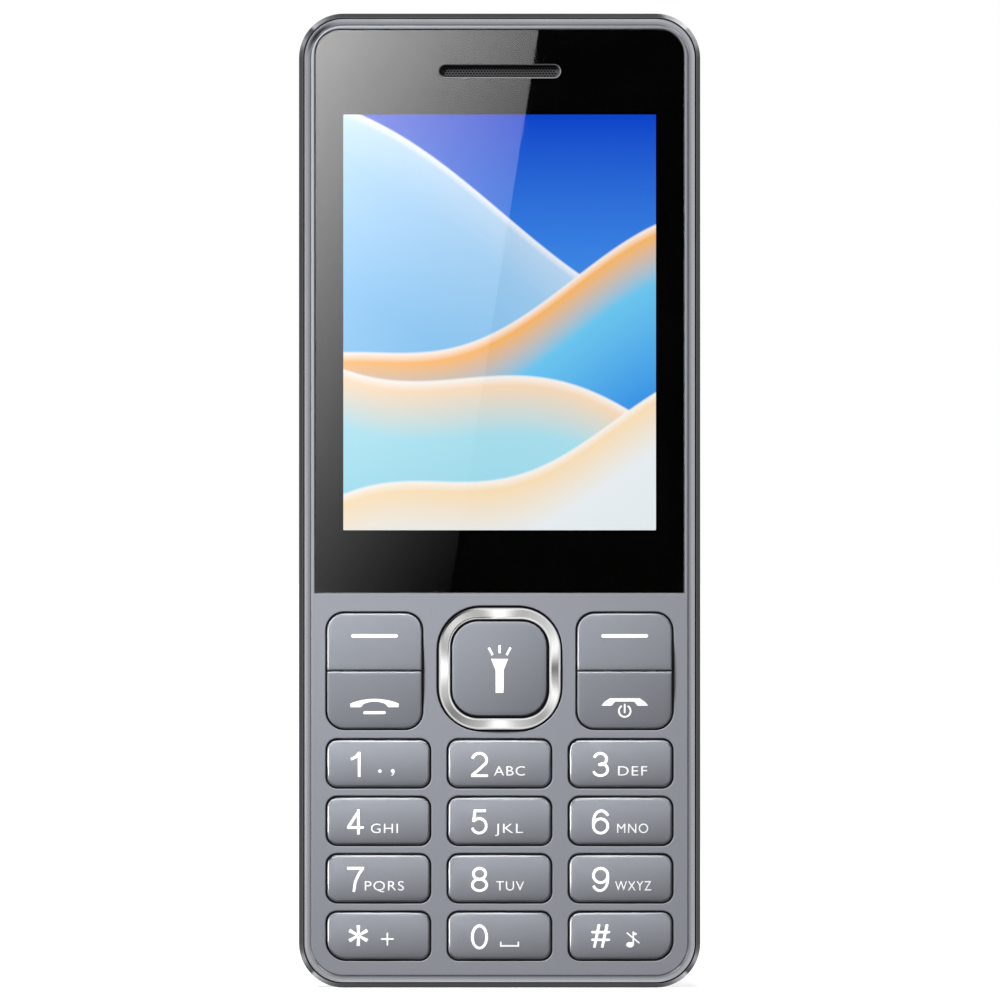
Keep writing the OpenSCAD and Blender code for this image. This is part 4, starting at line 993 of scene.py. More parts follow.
def digit_lines(digit):
    """Middle lines of a digit about its centre: the open ones and the closed ones."""
    right, top = (DIGIT[0] - DIGIT_W) / 2, (DIGIT[1] - DIGIT_W) / 2
    tip = top + DIGIT_W / 2
    over, bowl = top - 0.93, 0.985
    six = [curl(0.1, 0.0, right + 0.1, top, 34, 180) + [(-right, bowl - top)]]
    six_bowl = loop(0, bowl - top, right, bowl)
    lines = {
        "1": [[(0.53, -tip), (0.53, tip)], [(0.5, top), (0.05, top - 0.5), (-0.6, top - 0.82)]],
        "2": [curl(0, over, right, 0.93, 168, -28) + [(0.1, -0.55), (-right, -top + 0.1)],
              [(-right - 0.16, -top), (right + 0.18, -top)]],
        "3": [curl(-0.05, 0.74, 0.86, top - 0.74, 165, -90), curl(-0.02, -0.7, right, top - 0.7, 90, -165),
              [(-0.3, 0.0), (0.0, -0.02)]],
        "4": [[(0.42, -tip), (0.42, tip)], [(0.5, top), (-right, -0.72)],
              [(-right - 0.14, -0.76), (right + 0.18, -0.76)]],
        "5": [[(0.86, top), (-0.62, top)], [(-0.6, top + 0.15), (-0.84, 0.02)],
              curl(-0.05, 1.01 - top, right, 1.01, 143, -165)],
        "6": six,
        "7": [[(-right - 0.14, top), (right + 0.18, top)],
              [(right, top - 0.05), (0.42, 0.62), (0.0, -0.3), (-0.22, -tip)]],
        "9": [[(-x, -v) for x, v in line] for line in six],
    }
    rounds = {
        "0": [loop(0, 0, right, top)],
        "6": [six_bowl],
        "8": [loop(0, 0.78, 0.83, top - 0.78), loop(0, -0.75, right, top - 0.75)],
        "9": [[(-x, -v) for x, v in six_bowl]],
    }
    return lines.get(digit, []), rounds.get(digit, [])


def numeral(digit, x, v):
    """Flat faces of a digit about a place."""
    open_lines, rounds = digit_lines(digit)
    flats = [face for line in open_lines for face in trace(line, DIGIT_W)]
    flats += [face for line in rounds for face in trace(line, DIGIT_W, True)]
    return [moved(face, x, v) for face in flats]


LETTER_H = 1.37
LETTER_DROP = 0.95
SIGN_LEFT = 2.76
# Each key's digit and its place across, its letters, their place across and their width
NUMBER_LEGENDS = {
    "key_1": ("1", -3.17, "", 0.0, 0.0),
    "key_2": ("2", -2.76, "ABC", 1.36, 4.25),
    "key_3": ("3", -2.76, "DEF", 1.63, 3.98),
    "key_4": ("4", -3.17, "GHI", 0.81, 3.70),
    "key_5": ("5", -2.76, "JKL", 1.29, 3.84),
    "key_6": ("6", -2.76, "MNO", 1.63, 4.25),
    "key_7": ("7", -3.17, "PQRS", 0.81, 5.35),
    "key_8": ("8", -2.76, "TUV", 1.43, 3.84),
    "key_9": ("9", -2.76, "WXYZ", 1.70, 4.94),
    "key_0": ("0", -2.76, "", 0.0, 0.0),
}


def point_and_comma(x, v):
    """Round point, and a comma with a bent tail."""
    flats = [circle(x + 0.19, v - 1.03, 0.24, 16), circle(x + 1.95, v - 1.0, 0.25, 16)]
    tail = [(2.2, -1.0), (2.15, -1.34), (1.92, -1.68), (1.74, -1.62), (1.95, -1.35), (1.97, -1.15)]
    return flats + [moved(tail, x, v)]


def star_sign(x, v):
    """Six arms that widen outward, and a thin plus."""
    flats = []
    for i in range(6):
        a = math.radians(30 + 60 * i)
        tip = Vector((math.cos(a), math.sin(a)))
        side = Vector((-tip.y, tip.x))
        corners = [tip * 0.1 + side * 0.14, tip * 0.1 - side * 0.14,
                   tip * 1.42 - side * 0.24, tip * 1.42 + side * 0.24]
        flats.append(moved(corners, x - SIGN_LEFT, v + 0.07))
    flats += bar(x + 1.22, v - 0.41, 1.78, 0.2)
    flats += bar(x + 1.22, v - 0.41, 0.2, 1.78)
    return flats


def hash_sign(x, v):
    """Leaning hash, and a note struck through."""
    left = x - SIGN_LEFT
    flats = bar(left, v + 0.54, 2.6, 0.32) + bar(left, v - 0.51, 2.6, 0.32)
    flats += stroke(left - 0.88, v - 1.59, left - 0.21, v + 1.59, 0.36)
    flats += stroke(left + 0.2, v - 1.59, left + 0.89, v + 1.59, 0.36)
    head = circle(0, 0, 1.0, 20)
    flats.append([(x + 1.27 + 0.52 * px, v - 1.19 + 0.38 * py) for px, py in head])
    flats += stroke(x + 1.71, v - 1.19, x + 1.71, v + 0.62, 0.18)
    flats.append([(x + 1.63, v + 0.64), (x + 1.8, v + 0.2), (x + 2.1, v + 0.12), (x + 2.22, v + 0.32)])
    flats += stroke(x + 0.81, v + 0.46, x + 2.56, v - 0.98, 0.17)
    return flats


def space_sign(x, v):
    """Open bracket lying under the line."""
    flats = bar(x + 1.36, v - 1.35, 2.6, 0.2)
    for side in (-1, 1):
        flats += bar(x + 1.36 + side * 1.2, v - 1.1, 0.2, 0.69)
    return flats


NUMBER_SIGNS = {"key_1": point_and_comma, "key_star": star_sign, "key_hash": hash_sign, "key_0": space_sign}


def number_keys():
    """Twelve number keys with their legends."""
    for name in NUMBER_KEYS:
        box = grown(seat(name), -FLANGE)
        x, v = middle(box)
        crown = arch((x, v), KEY_CREST, NUMBER_BOW)
        key_cap(name, box, number_radii(name), seat(name)[:4], crown)
        flats = []
        if name in NUMBER_LEGENDS:
            digit, digit_x, letters, letters_x, letters_w = NUMBER_LEGENDS[name]
            flats += numeral(digit, x + digit_x, v - DIGIT_DROP)
            if letters:
                flats += lettering(letters, x + letters_x, v - LETTER_DROP, letters_w, LETTER_H)
        if name in NUMBER_SIGNS:
            flats += NUMBER_SIGNS[name](x, v)
        legend(name, flats, crown)


CURVE_STEPS = 8


def curve_points(start, mid, end):
    """Points on a parabola through three points that are evenly spread across."""
    points = []
    for i in range(CURVE_STEPS + 1):
        t = 2 * i / CURVE_STEPS - 1
        x = start[0] + (end[0] - start[0]) * i / CURVE_STEPS
        v = mid[1] + (start[1] - mid[1]) * t * t
        points.append((x, v))
    return points


def call_sign(x):
    """Handset with a bowed grip over a short line."""
    foot = 38.45
    top = curve_points((x - 3.3, foot + 0.53), (x, foot + 1.16), (x + 3.3, foot + 0.53))
    inner = curve_points((x + 1.46, foot + 0.47), (x, foot + 0.76), (x - 1.46, foot + 0.47))
    shape = top + [(x + 3.3, foot), (x + 1.91, foot)] + inner + [(x - 1.91, foot), (x - 3.3, foot)]
    return [shape] + bar(x, 37.7, 3.09, 0.41)


def end_sign(x):
    """Handset with a flat grip over a power sign."""
    foot, top = 38.66, 39.68
    half = [(3.2, foot), (2.75, foot + 0.55), (2.03, top)]
    under = [(1.77, foot), (1.31, top - 0.46)]
    shape = [(-px, v) for px, v in half] + half[::-1] + under + [(-px, v) for px, v in under[::-1]]
    flats = [moved(shape, x, 0)] + bar(x, 38.28, 0.24, 1.3)
    angles = [math.radians(90 + 30 + 300 * i / 24) for i in range(25)]

    def turn(r, angle):
        return x + r * math.cos(angle), 37.93 + r * math.sin(angle)

    outer, inner = 0.92, 0.68
    for a, b in zip(angles, angles[1:]):
        flats.append([turn(outer, a), turn(inner, a), turn(inner, b), turn(outer, b)])
    return flats


def soft_sign(x):
    """Plain line."""
    return bar(x, 48.22, 6.38, 0.46)


FUNCTION_SIGNS = {"left_soft_key": soft_sign, "call_key": call_sign,
                  "right_soft_key": soft_sign, "end_key": end_sign}


def function_keys():
    """Two blocks of two keys, each block under one crown."""
    for name in FUNCTION_KEYS:
        node = seat(name)
        block = function_block(-1 if node[0] < 0 else 1)
        upper = name.endswith("soft_key")
        low = node[1] if upper else block[1]
        high = block[3] if upper else node[3]
        lower_r, upper_r = (INNER_R, FUNCTION_R) if upper else (FUNCTION_R, INNER_R)
        box = (block[0], low, block[2], high)
        crown = arch(middle(block), BLOCK_CREST, FUNCTION_BOW)
        key_cap(name, box, (lower_r, lower_r, upper_r, upper_r), node[:4], crown, FUNCTION_FILLET)
        legend(name, FUNCTION_SIGNS[name](middle(block)[0]), crown)


# Navigation keys
RING_SLOPE = math.tan(math.radians(10))
RING_CREST = KEY_CREST + 0.06
RING_EDGE = 0.16
RING_FLANGE_TOP = 4.249
RING_FLANGE_UNDER = RING_FLANGE_TOP - 0.45
RING_LIP = 5.2
RING_RECESS = 0.7
CENTRE_FLANGE = (4.38, 4.78)
RING_STEPS = {"arc": 14, "along": 10}
TORCH_RAY_W = 0.32


def navigation():
    """Bright ring that falls away outward, and the key in its middle with a torch sign."""
    x, v = middle(RING)
    outer_box = grown(RING, -FLANGE)
    hole_box = centred(x, v, RING_HOLE, RING_HOLE)

    def slope(px, pv):
        return RING_CREST - RING_SLOPE * (math.hypot(px - x, pv - v) - RING_HOLE / 2)

    def outside(inset):
        return inset_outline(outer_box, RING_R, inset, **RING_STEPS)

    def inside(inset):
        return inset_outline(hole_box, RING_HOLE_R, -inset, **RING_STEPS)

    bm = bmesh.new()
    rings = [
        (inside(RING_RECESS), RING_FLANGE_UNDER),
        (outside(-FLANGE), RING_FLANGE_UNDER),
        (outside(-FLANGE), RING_FLANGE_TOP),
        (outside(0), RING_FLANGE_TOP),
    ]
    edge = rounding(RING_EDGE, 4)
    rings += [(outside(inset), lambda a, b, d=drop: slope(a, b) - d) for inset, drop in reversed(edge)]
    for share in (0.25, 0.5, 0.75):
        ends = zip(outside(RING_EDGE), inside(RING_EDGE))
        rings.append(([(a + (c - a) * share, b + (d - b) * share) for (a, b), (c, d) in ends], slope))
    rings += [(inside(inset), lambda a, b, d=drop: slope(a, b) - d) for inset, drop in edge]
    rings += [(inside(0), RING_LIP), (inside(RING_RECESS), RING_LIP)]
    made = [ring_of(bm, points, depth) for points, depth in rings]
    plated = slice(4, len(made) - 2)
    skin(bm, made[plated])
    # The flange and the walls under the ring are near black, partly painted shade for the gap round the ring
    skin(bm, made[-3:] + made[:5], 1)
    piece("nav_ring_plated", bm, [ring_chrome, skirt_dark_and_shade], "ring_chrome", "nav_ring", "nav_ring")
    centre_box = grown(hole_box, -CENTRE_GAP)
    crown = arch((x, v), CENTRE_CREST, CENTRE_BOW)
    radii = four(RING_HOLE_R - CENTRE_GAP)
    key_cap("centre_key", centre_box, radii, CENTRE[:4], crown, FUNCTION_FILLET, CENTRE_FLANGE)
    flats = [[(-1.17, 45.08), (-0.55, 43.52), (-0.55, 40.42), (0.55, 40.42), (0.55, 43.52), (1.17, 45.08)]]
    flats += stroke(0, 45.85, 0, 46.95, TORCH_RAY_W)
    for side in (-1, 1):
        flats += stroke(side * 0.95, 45.6, side * 1.5, 46.62, TORCH_RAY_W)
    legend("centre_key", flats, crown)


# Back fittings
CAMERA_R = (CAMERA[2] - CAMERA[0]) / 2
TORCH_R = 1.95
TORCH_FLANGE = 0.55
TORCH_GROOVES = (1.55, 1.3, 1.05, 0.8, 0.55)
TRIM_PROUD = 0.06
TRIM_T = 0.4
TRIM_EDGE = 0.2
LENS_ROOM = 0.06
LENS_EDGE = 0.08
BARREL_R = 2.6
BARREL_BASE = 4.2
MODULE_R = 0.6
MODULE_EDGE = 0.15
LENS_R = 1.1


def camera_and_torch():
    """Island trim, camera window, camera barrel with its lens, and torch lens."""
    camera, torch = middle(CAMERA), middle(TORCH)
    bm = bmesh.new()
    trim = (REAR[5] - TRIM_PROUD, REAR[5] + TRIM_T)
    plate = centred(0, CAMERA_V, ISLAND[0] - 0.02, ISLAND[1] - 0.02)
    loops = [rim(plate, ISLAND[1] / 2 - 0.02, *trim, TRIM_EDGE, arc=20)]
    for place, r in ((camera, CAMERA_R + LENS_ROOM), (torch, TORCH_R + LENS_ROOM)):
        loops.append(opening(centred(*place, 2 * r, 2 * r), r - 0.001, *trim, LENS_EDGE, arc=12))
    pierced(bm, loops)
    piece("camera_island_trim", bm, [island_gloss], "rear_plastic")
    bm = bmesh.new()
    face, under = CAMERA[5], CAMERA[4]
    profile = [(CAMERA_R, under), (CAMERA_R, face + 0.15)]
    profile += [(CAMERA_R - 0.05, face + 0.05), (CAMERA_R - 0.15, face)]
    lathe(bm, camera, profile)
    piece("camera_pane", bm, [camera_glass], "camera_glass", stands_for="camera_window")
    bm = bmesh.new()
    tip, foot = CAMERA_BODY[5], CAMERA_BODY[4]
    base = foot - BARREL_BASE
    slab(bm, CAMERA_BODY[:4], MODULE_R, foot, base, MODULE_EDGE)
    profile = [(BARREL_R, base + 0.1), (BARREL_R, tip + 0.1), (BARREL_R - 0.1, tip), (2.05, tip)]
    profile += [(1.95, tip + 0.1), (1.9, tip + 0.5), (1.5, tip + 0.55), (1.45, tip + 0.8)]
    profile.append((LENS_R, tip + 0.85))
    lathe(bm, camera, profile)
    profile = [(LENS_R, tip + 1.1)]
    for lean in range(90, 0, -10):
        turn = math.radians(lean)
        profile.append((LENS_R * math.sin(turn), tip + 0.95 - 0.25 * math.cos(turn)))
    lathe(bm, camera, profile, 48, 1)
    piece("camera_barrel", bm, [lens_black, lens_coating], "chip_black", stands_for="camera_module")
    bm = bmesh.new()
    flange_r = (TORCH[2] - TORCH[0]) / 2
    face, inner = TORCH[5], TORCH[4]
    step = inner - TORCH_FLANGE
    profile = [(flange_r, inner), (flange_r, step), (TORCH_R, step)]
    profile += [(TORCH_R, face + 0.12), (TORCH_R - 0.12, face)]
    for r in TORCH_GROOVES:
        profile += [(r, face), (r - 0.02, face + 0.1), (r - 0.23, face + 0.01)]
    lathe(bm, torch, profile)
    piece("torch_cap", bm, [torch_clear], "clear_lens", stands_for="torch_lens")


# Finishes of the pieces that keep their plain solid
def board_mask():
    """Green board with paler tracks and round pads."""
    finish = Finish("board_mask")
    place = finish.place()
    tracks = finish.add("TexBrick", {"Vector": place, "Scale": 260.0, "Mortar Size": 0.06})
    lines = finish.add("SeparateColor", {"Color": tracks})
    grain = finish.noise(place, 1800.0)
    green = finish.blend(grain, (0.010, 0.085, 0.030, 1), (0.016, 0.11, 0.042, 1))
    pads = finish.add("TexVoronoi", {"Vector": place, "Scale": 420.0}, "Distance")
    dots = finish.spread(pads, 1.0, 0.0, 0.10, 0.14)
    colour = finish.blend(dots, finish.blend(lines, green, (0.02, 0.15, 0.06, 1)), (0.55, 0.42, 0.16, 1))
    gloss = finish.spread(grain, 0.28, 0.42)
    return finish.put({"Base Color": colour, "Roughness": gloss, "Coat Weight": 0.3})


def flex_film():
    """Amber film with fine copper tracks."""
    finish = Finish("flex_film")
    place = finish.place()
    bands = {"Vector": place, "Scale": 500.0, "Distortion": 0.0}
    waves = finish.add("TexWave", bands, "Fac", bands_direction="X")
    track = finish.spread(waves, 0.0, 1.0, 0.55, 0.65)
    colour = finish.blend(track, (0.42, 0.14, 0.02, 1), (0.62, 0.28, 0.06, 1))
    gloss = finish.spread(finish.noise(place, 900.0), 0.25, 0.4)
    return finish.put({"Base Color": colour, "Roughness": gloss})


LABEL_HALF_W = 13.0
LABEL_HALF_H = 19.0
RULE_FROM_MIDDLE = 16.5
RULE_HALF_W = 0.3


def battery_sleeve():
    """Dark sleeve with a paler plain panel and two thin rules."""
    finish = Finish("battery_sleeve")

    def within(value, reach):
        return finish.math("LESS_THAN", finish.math("ABSOLUTE", value), reach * MM)

    x, _, z = finish.axes()
    height = finish.math("SUBTRACT", z, middle(BATTERY)[1] * MM)
    panel = finish.math("MULTIPLY", within(x, LABEL_HALF_W), within(height, LABEL_HALF_H))
    past_rule = finish.math("SUBTRACT", finish.math("ABSOLUTE", height), RULE_FROM_MIDDLE * MM)
    rules = finish.math("MULTIPLY", panel, within(past_rule, RULE_HALF_W))
    grain = finish.noise(finish.place(), 2200.0)
    sleeve = finish.blend(grain, (0.035, 0.04, 0.05, 1), (0.045, 0.05, 0.062, 1))
    label = finish.blend(panel, sleeve, (0.32, 0.34, 0.37, 1))
    return finish.put({
        "Base Color": finish.blend(rules, label, (0.75, 0.76, 0.78, 1)),
        "Roughness": finish.spread(grain, 0.35, 0.5),
        "Normal": finish.bump(grain, 0.000004),
    })


BRUSH = (1.0, 1.0, 0.04)
NODE_FINISHES = {
    "rear_plastic": grained("rear_plastic", (0.025, 0.026, 0.03), 0.5, 0.0, 4500.0, 0.1, 0.00001),
    "black_tape": grained("tape_black", (0.01, 0.01, 0.011), 0.7, 0.0, 3000.0, 0.15, 0.000006),
    "clear_rubber": grained("milky_rubber", (0.62, 0.62, 0.58), 0.5, 0.0, 1500.0, 0.04,
                            Subsurface_Weight=0.2),
    "clear_film": grained("dome_film_clear", (0.55, 0.62, 0.66), 0.3, 0.0, 1200.0, 0.05),
    "gold_plate": grained("gold_plating", (0.75, 0.55, 0.2), 0.25, 1.0, 2500.0, 0.06),
    "white_led": grained("phosphor", (0.82, 0.62, 0.12), 0.5, 0.0, 4000.0, 0.08),
    "board_green": board_mask(),
    "chip_black": grained("chip_mould", (0.016, 0.016, 0.018), 0.55, 0.0, 4000.0, 0.2, 0.000005),
    "tin_sheet": grained("tinned_sheet", (0.55, 0.57, 0.6), 0.32, 1.0, 1600.0, 0.06, 0.000002, BRUSH),
    "amber_film": flex_film(),
    "black_foam": grained("foam_black", (0.008, 0.008, 0.009), 0.9, 0.0, 6000.0, 0.3, 0.00004),
    "speaker_black": grained("speaker_mould", (0.05, 0.054, 0.062), 0.5, 0.0, 3500.0, 0.12, 0.00001),
    "weight_metal": grained("sintered_weight", (0.30, 0.31, 0.33), 0.45, 1.0, 5000.0, 0.12, 0.000008),
    "socket_steel": grained("socket_plating", (0.6, 0.61, 0.63), 0.28, 1.0, 1800.0, 0.05, 0.000002, BRUSH),
    "socket_plastic": grained("socket_mould", (0.02, 0.021, 0.024), 0.45, 0.0, 3500.0, 0.15, 0.000006),
    "battery_can": battery_sleeve(),
    "copper_sheet": grained("copper_plate", (0.66, 0.3, 0.1), 0.3, 1.0, 1800.0, 0.08, 0.000002, BRUSH),
    "screw_steel": grained("zinc_plating", (0.5, 0.51, 0.53), 0.3, 1.0, 2500.0, 0.06),
}


def finish_plain_nodes():
    """Gives the nodes that keep their solid the finish for their material."""
    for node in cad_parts.values():
        for place in node.material_slots:
            if place.material.name in NODE_FINISHES:
                place.material = NODE_FINISHES[place.material.name]


# Stage
CAMERA_AWAY = 2.5
PHOTO_SPAN = 136.95
PHOTO_MID_V = 66.83
PHOTO_MID_X = 0.05


def photo_camera():
    """Camera straight in front of the plate, framed as in the photo."""
    data = bpy.data.cameras.new("photo_camera")
    data.sensor_width = 36.0
    data.lens = data.sensor_width * CAMERA_AWAY / (PHOTO_SPAN * MM)
    data.clip_start, data.clip_end = 0.01, 20.0
    camera = linked("photo_camera", data)
    camera.location = (PHOTO_MID_X * MM, -PLATE_FRONT * MM - CAMERA_AWAY, PHOTO_MID_V * MM)
    camera.rotation_euler = UPRIGHT
    bpy.context.scene.camera = camera


def soft_light(name, place, aim, size, power, spread=180):
    data = bpy.data.lights.new(name, "AREA")
    data.shape = "DISK"
    data.size = size
    data.energy = power
    data.spread = math.radians(spread)
    lamp = linked(name, data)
    lamp.location = place
    lamp.rotation_euler = (Vector(aim) - Vector(place)).to_track_quat("-Z", "Y").to_euler()
    return lamp


def lights_only(lamp, pieces):
    """Keeps a lamp's light to some pieces."""
    group = bpy.data.collections.new(lamp.name + "_pieces")
    for piece in pieces:
        group.objects.link(piece)
    lamp.light_linking.receiver_collection = group


ABOVE = (-0.05, -0.19, 0.55)
BESIDE = (-0.52, -0.19, 0.05)
KEYPAD = (0.0, 0.0, 0.03)
EDGE_LIGHT_SIZE = 0.3
# Each light's name, place, power and keys
EDGE_LIGHTS = (
    ("number_key_top_light", ABOVE, 3.0, NUMBER_KEYS),
    ("number_key_side_light", BESIDE, 12.0, NUMBER_KEYS),
    ("function_key_top_light", ABOVE, 2.1, FUNCTION_KEYS),
    ("soft_key_side_light", BESIDE, 5.0, ("left_soft_key", "right_soft_key")),
)


def edge_lights():
    """Lights that show only as gloss along the edges of some keys."""
    for name, place, power, keys in EDGE_LIGHTS:
        lamp = soft_light(name, place, KEYPAD, EDGE_LIGHT_SIZE, power)
        lamp.visible_diffuse = False
        lights_only(lamp, [key_caps[key] for key in keys])


def white_world(level):
    """White to the camera, to gloss and through glass; a plain level of light on the object."""
    world = bpy.data.worlds.new("studio")
    world.use_nodes = True
    nodes = Nodes(world.node_tree)
    seen = nodes.add("LightPath", {}, "Is Camera Ray")
    rays = seen.node.outputs
    for name in ("Is Glossy Ray", "Is Transmission Ray"):
        seen = nodes.math("MAXIMUM", seen, rays[name])
    background = world.node_tree.nodes["Background"].inputs
    nodes.join(background["Strength"], nodes.spread(seen, level, 1.0))
    nodes.join(background["Color"], WHITE)
    bpy.context.scene.world = world


ONE_FACE = [(0, 1, 2, 3)]


def card_object(name, places, faces, material):
    """A piece of the stage made of flat faces."""
    mesh = bpy.data.meshes.new(name)
    mesh.from_pydata(places, [], faces)
    mesh.materials.append(material)
    made = linked(name, mesh)
    return made


class Glow(Nodes):
    """A card's material under construction; it stays dark until light() gives it a strength."""

    def __init__(self, name):
        self.material = node_material(name)
        super().__init__(self.material.node_tree)
        self.tree.nodes.clear()
        self.emission = self.add("Emission", {"Color": WHITE, "Strength": 0.0}).node
        end = self.tree.nodes.new("ShaderNodeOutputMaterial")
        self.join(end.inputs["Surface"], self.emission.outputs[0])

    def light(self, strength, colour=WHITE):
        self.join(self.emission.inputs["Strength"], strength)
        self.join(self.emission.inputs["Color"], colour)


def only_in_gloss(card):
    card.visible_camera = False
    card.visible_diffuse = False
    card.visible_shadow = False
    card.visible_volume_scatter = False


FLOOR_HALF = 12.0
FLOOR_GREY = (0.32, 0.32, 0.32, 1.0)
FLOOR_LIFT = 0.78
FLOOR_SUN = 3.4
FLOOR_SUN_SPREAD = 15
FLOOR_SUN_LEAN = 40


def pale_floor():
    """Pale floor that reads white and keeps the shadow."""
    finish = Finish("pale_floor")
    grain = finish.add("TexNoise", {"Scale": 400.0})
    to_camera = finish.add("LightPath", {}, "Is Camera Ray")
    material = finish.put({
        "Base Color": FLOOR_GREY,
        "Roughness": finish.spread(grain, 0.55, 0.6),
        "Specular IOR Level": 0.0,
        "Emission Color": WHITE,
        "Emission Strength": finish.math("MULTIPLY", to_camera, FLOOR_LIFT),
    })
    far = FLOOR_HALF
    floor = card_object("floor", [(-far, -far, 0), (far, -far, 0), (far, far, 0), (-far, far, 0)],
                        ONE_FACE, material)
    floor.visible_glossy = False
    floor.visible_diffuse = False
    sun = linked("floor_sun", bpy.data.lights.new("floor_sun", "SUN"))
    sun.data.energy = FLOOR_SUN
    sun.data.angle = math.radians(FLOOR_SUN_SPREAD)
    sun.rotation_euler = (math.radians(FLOOR_SUN_LEAN), 0.0, 0.0)
    lights_only(sun, [floor])


CARD_AWAY = 0.95
CARD_REACH = 1 + CARD_AWAY / CAMERA_AWAY
CARD_Y = -PLATE_FRONT * MM - CARD_AWAY
CARD_ROOM = 8
# Low enough that the window stays black from 3 degrees above, too
BLACK_CARD_FOOT = 12.0
# Ends of the pale part's leaning edge, as the window shows them, and its other two sides
PALE_EDGE_TOP = (5.35, 131.3)
PALE_EDGE_FOOT = (-6.8, 54.0)
PALE_LEFT = -34
PALE_TOP = 140
# How far the leaning edge goes on past its two ends, as shares of its length
PALE_PAST_TOP = 0.1
PALE_PAST_FOOT = 0.54
# Brightness as it renders is a plane over the window: full at its upper left, falling right and down
PALE_FULL_AT = (-24.9, 129.8)
PALE_FULL = 0.70
PALE_FALL_X = 0.00943
PALE_FALL_V = 0.00616
PALE_GAMMA = 2.2
PALE_STRENGTH = 12.5


def mirrored(value, mid):
    """Where the card meets the line of sight that the phone's front reflects at a place."""
    return (mid + (value - mid) * CARD_REACH) * MM


def window_card():
    """Card that the window reflects: black, with a pale part left of a leaning edge."""

    def seen(x, v):
        return Vector((mirrored(x, PHOTO_MID_X), CARD_Y, mirrored(v, PHOTO_MID_V)))

    left, _, right, top = grown(WINDOW, CARD_ROOM)
    corners = [seen(left, BLACK_CARD_FOOT), seen(right, BLACK_CARD_FOOT), seen(right, top), seen(left, top)]
    only_in_gloss(card_object("black_card", corners, ONE_FACE, Glow("card_black").material))
    pale = Glow("card_milky")
    x, _, z = pale.axes()
    full_at = seen(*PALE_FULL_AT)
    across = pale.math("MULTIPLY", pale.math("SUBTRACT", x, full_at.x), -PALE_FALL_X / (MM * CARD_REACH))
    down = pale.math("MULTIPLY", pale.math("SUBTRACT", z, full_at.z), PALE_FALL_V / (MM * CARD_REACH))
    level = pale.math("MAXIMUM", pale.math("ADD", pale.math("ADD", across, down), PALE_FULL), 0.0)
    pale.light(pale.math("MULTIPLY", pale.math("POWER", level, PALE_GAMMA), PALE_STRENGTH))
    nearer = Vector((0, 0.004, 0))
    edge_top, edge_foot = seen(*PALE_EDGE_TOP), seen(*PALE_EDGE_FOOT)
    run = edge_top - edge_foot
    corners = [seen(PALE_LEFT, BLACK_CARD_FOOT), edge_foot - run * PALE_PAST_FOOT,
               edge_top + run * PALE_PAST_TOP, seen(PALE_LEFT, PALE_TOP)]
    only_in_gloss(card_object("milky_card", [corner + nearer for corner in corners], ONE_FACE, pale.material))


def around(angle):
    """Direction at a clock angle: degrees from three o'clock, anticlockwise as seen from the front."""
    return Vector((math.cos(math.radians(angle)), 0, math.sin(math.radians(angle))))


def clock_level(clock, angle):
    """Light at an angle; a clock is pairs of degrees and light, with smooth steps between them."""
    for (a, low), (b, high) in zip(clock, clock[1:]):
        if a <= angle <= b:
            t = (angle - a) / (b - a)
            return low + (high - low) * t * t * (3 - 2 * t)
    return 0.0


def lit_card(name, edges, count):
    """Card between edges that go round the clock; each gives the place and the light at an angle."""
    glow = Glow(name)
    glow.light(1.0, glow.add("VertexColor", {}, "Color", layer_name="light"))
    made = [edge(360 * i / count) for edge in edges for i in range(count)]
    faces = []
    for row in range(len(edges) - 1):
        near, far = row * count, (row + 1) * count
        for i in range(count):
            j = (i + 1) % count
            faces.append((near + i, far + i, far + j, near + j))
    card = card_object(name, [place for place, _ in made], faces, glow.material)
    light = card.data.color_attributes.new("light", "FLOAT_COLOR", "POINT")
    for item, (_, level) in zip(light.data, made):
        item.color = (level, level, level, 1.0)
    only_in_gloss(card)


RING_CLOCK = ((0, 0.16), (20, 1.2), (40, 0.7), (52, 0.62), (70, 0.5), (90, 1.35), (110, 0.45), (135, 0.83),
              (158, 0.5), (180, 1.35), (202, 0.6), (225, 0.24), (250, 0.5), (270, 1.35), (290, 0.6),
              (312, 0.4), (335, 1.2), (348, 0.5), (360, 0.16))
RING_LEANS = (14.5, 27)


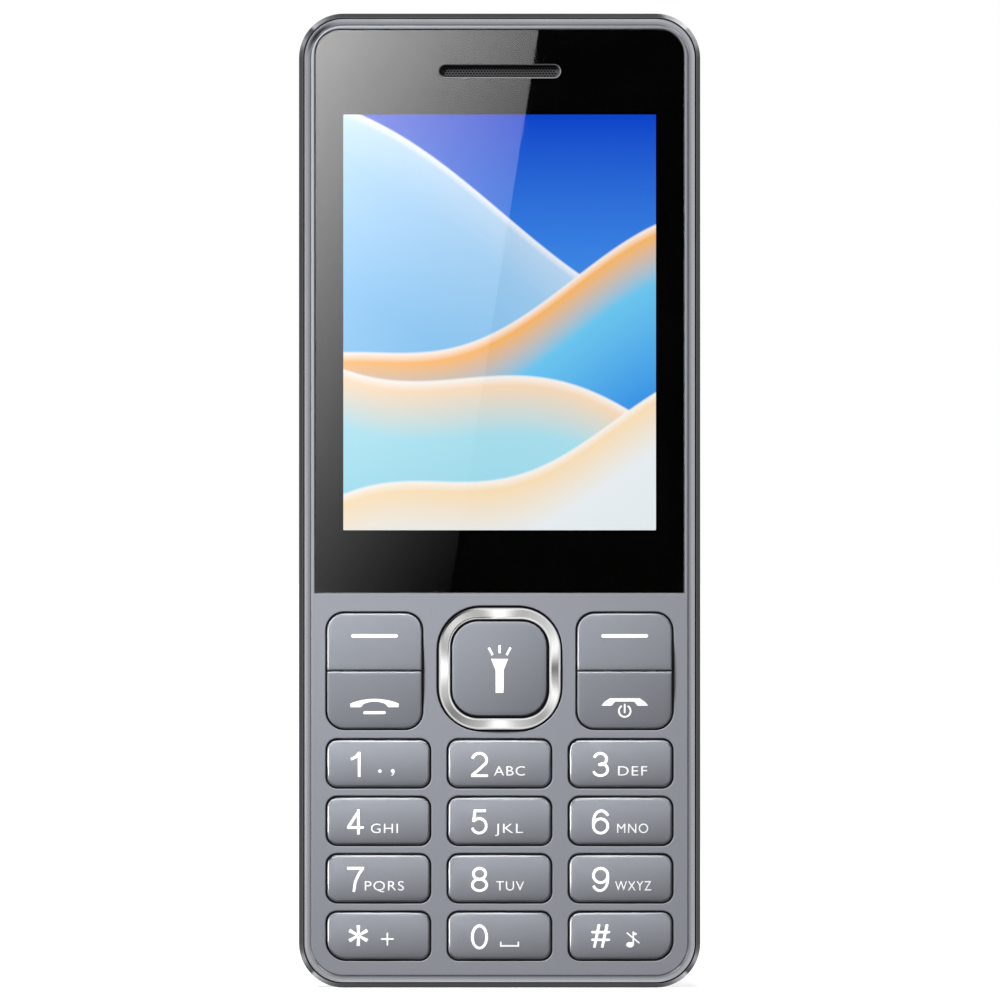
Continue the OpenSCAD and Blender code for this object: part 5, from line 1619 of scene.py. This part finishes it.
def ring_card():
    """Card that the ring reflects: bright and dark sectors round the clock."""
    x, v = middle(RING)
    centre = Vector((x * MM, CARD_Y, mirrored(v, PHOTO_MID_V)))

    def edge(lean):
        r = CARD_AWAY * math.tan(math.radians(lean))
        return lambda angle: (centre + around(angle) * r, clock_level(RING_CLOCK, angle))

    lit_card("sector_card", [edge(lean) for lean in RING_LEANS], 144)


TENT_R = 1.2
BAND_LEANS = (99, 128)
# Pairs of degrees and light: by the lean from the front, round the clock, and in a quarter of the clock
TENT_FALL = ((2, 1.0), (20, 0.95), (40, 0.76), (60, 0.62), (85, 0.5), (97, 0.44))
TENT_SHADE = ((0, 1.0), (100, 1.0), (120, 0.2), (130, 0.03), (140, 0.03), (150, 0.2), (170, 1.0), (360, 1.0))
BAND_QUARTER = ((0, 0.25), (12, 0.45), (25, 1.3), (37, 0.5), (45, 0.15), (47, 2.1), (58, 1.3), (72, 0.55),
                (82, 0.3), (90, 0.25))


def tent_card():
    """Tent that the shells reflect: it fades from front to side; its rear rim lights the band's corners."""
    centre = Vector((0, 0, PHOTO_MID_V * MM))

    def place(angle, lean):
        turn = math.radians(lean)
        return centre + (around(angle) * math.sin(turn) - Vector((0, math.cos(turn), 0))) * TENT_R

    def front_edge(lean, level):
        return lambda angle: (place(angle, lean), level * clock_level(TENT_SHADE, angle))

    def band_level(angle):
        return clock_level(BAND_QUARTER, min(angle % 180, 180 - angle % 180))

    def band_edge(lean):
        return lambda angle: (place(angle, lean), band_level(angle))

    edges = [front_edge(lean, level) for lean, level in TENT_FALL]
    lit_card("tent_card", edges + [band_edge(lean) for lean in BAND_LEANS], 360)


def stage():
    """Camera, lights, world, floor and the cards that the phone reflects."""
    photo_camera()
    key_light = soft_light("key_light", place=(-0.176, -0.14, 0.301), aim=(-0.02, 0.0, 0.06),
                           size=0.07, power=0.205, spread=52)
    key_light.visible_glossy = False
    edge_lights()
    soft_light("back_light", place=(0.3, 0.6, 0.5), aim=(0.0, 0.0, PHOTO_MID_V * MM), size=1.1, power=4.0)
    white_world(level=0.1)
    pale_floor()
    window_card()
    ring_card()
    tent_card()
    bpy.context.scene.view_settings.view_transform = "Standard"


side_band()
front_shell()
battery_cover()
window_parts()
earpiece()
number_keys()
function_keys()
navigation()
camera_and_torch()
finish_plain_nodes()
stage()
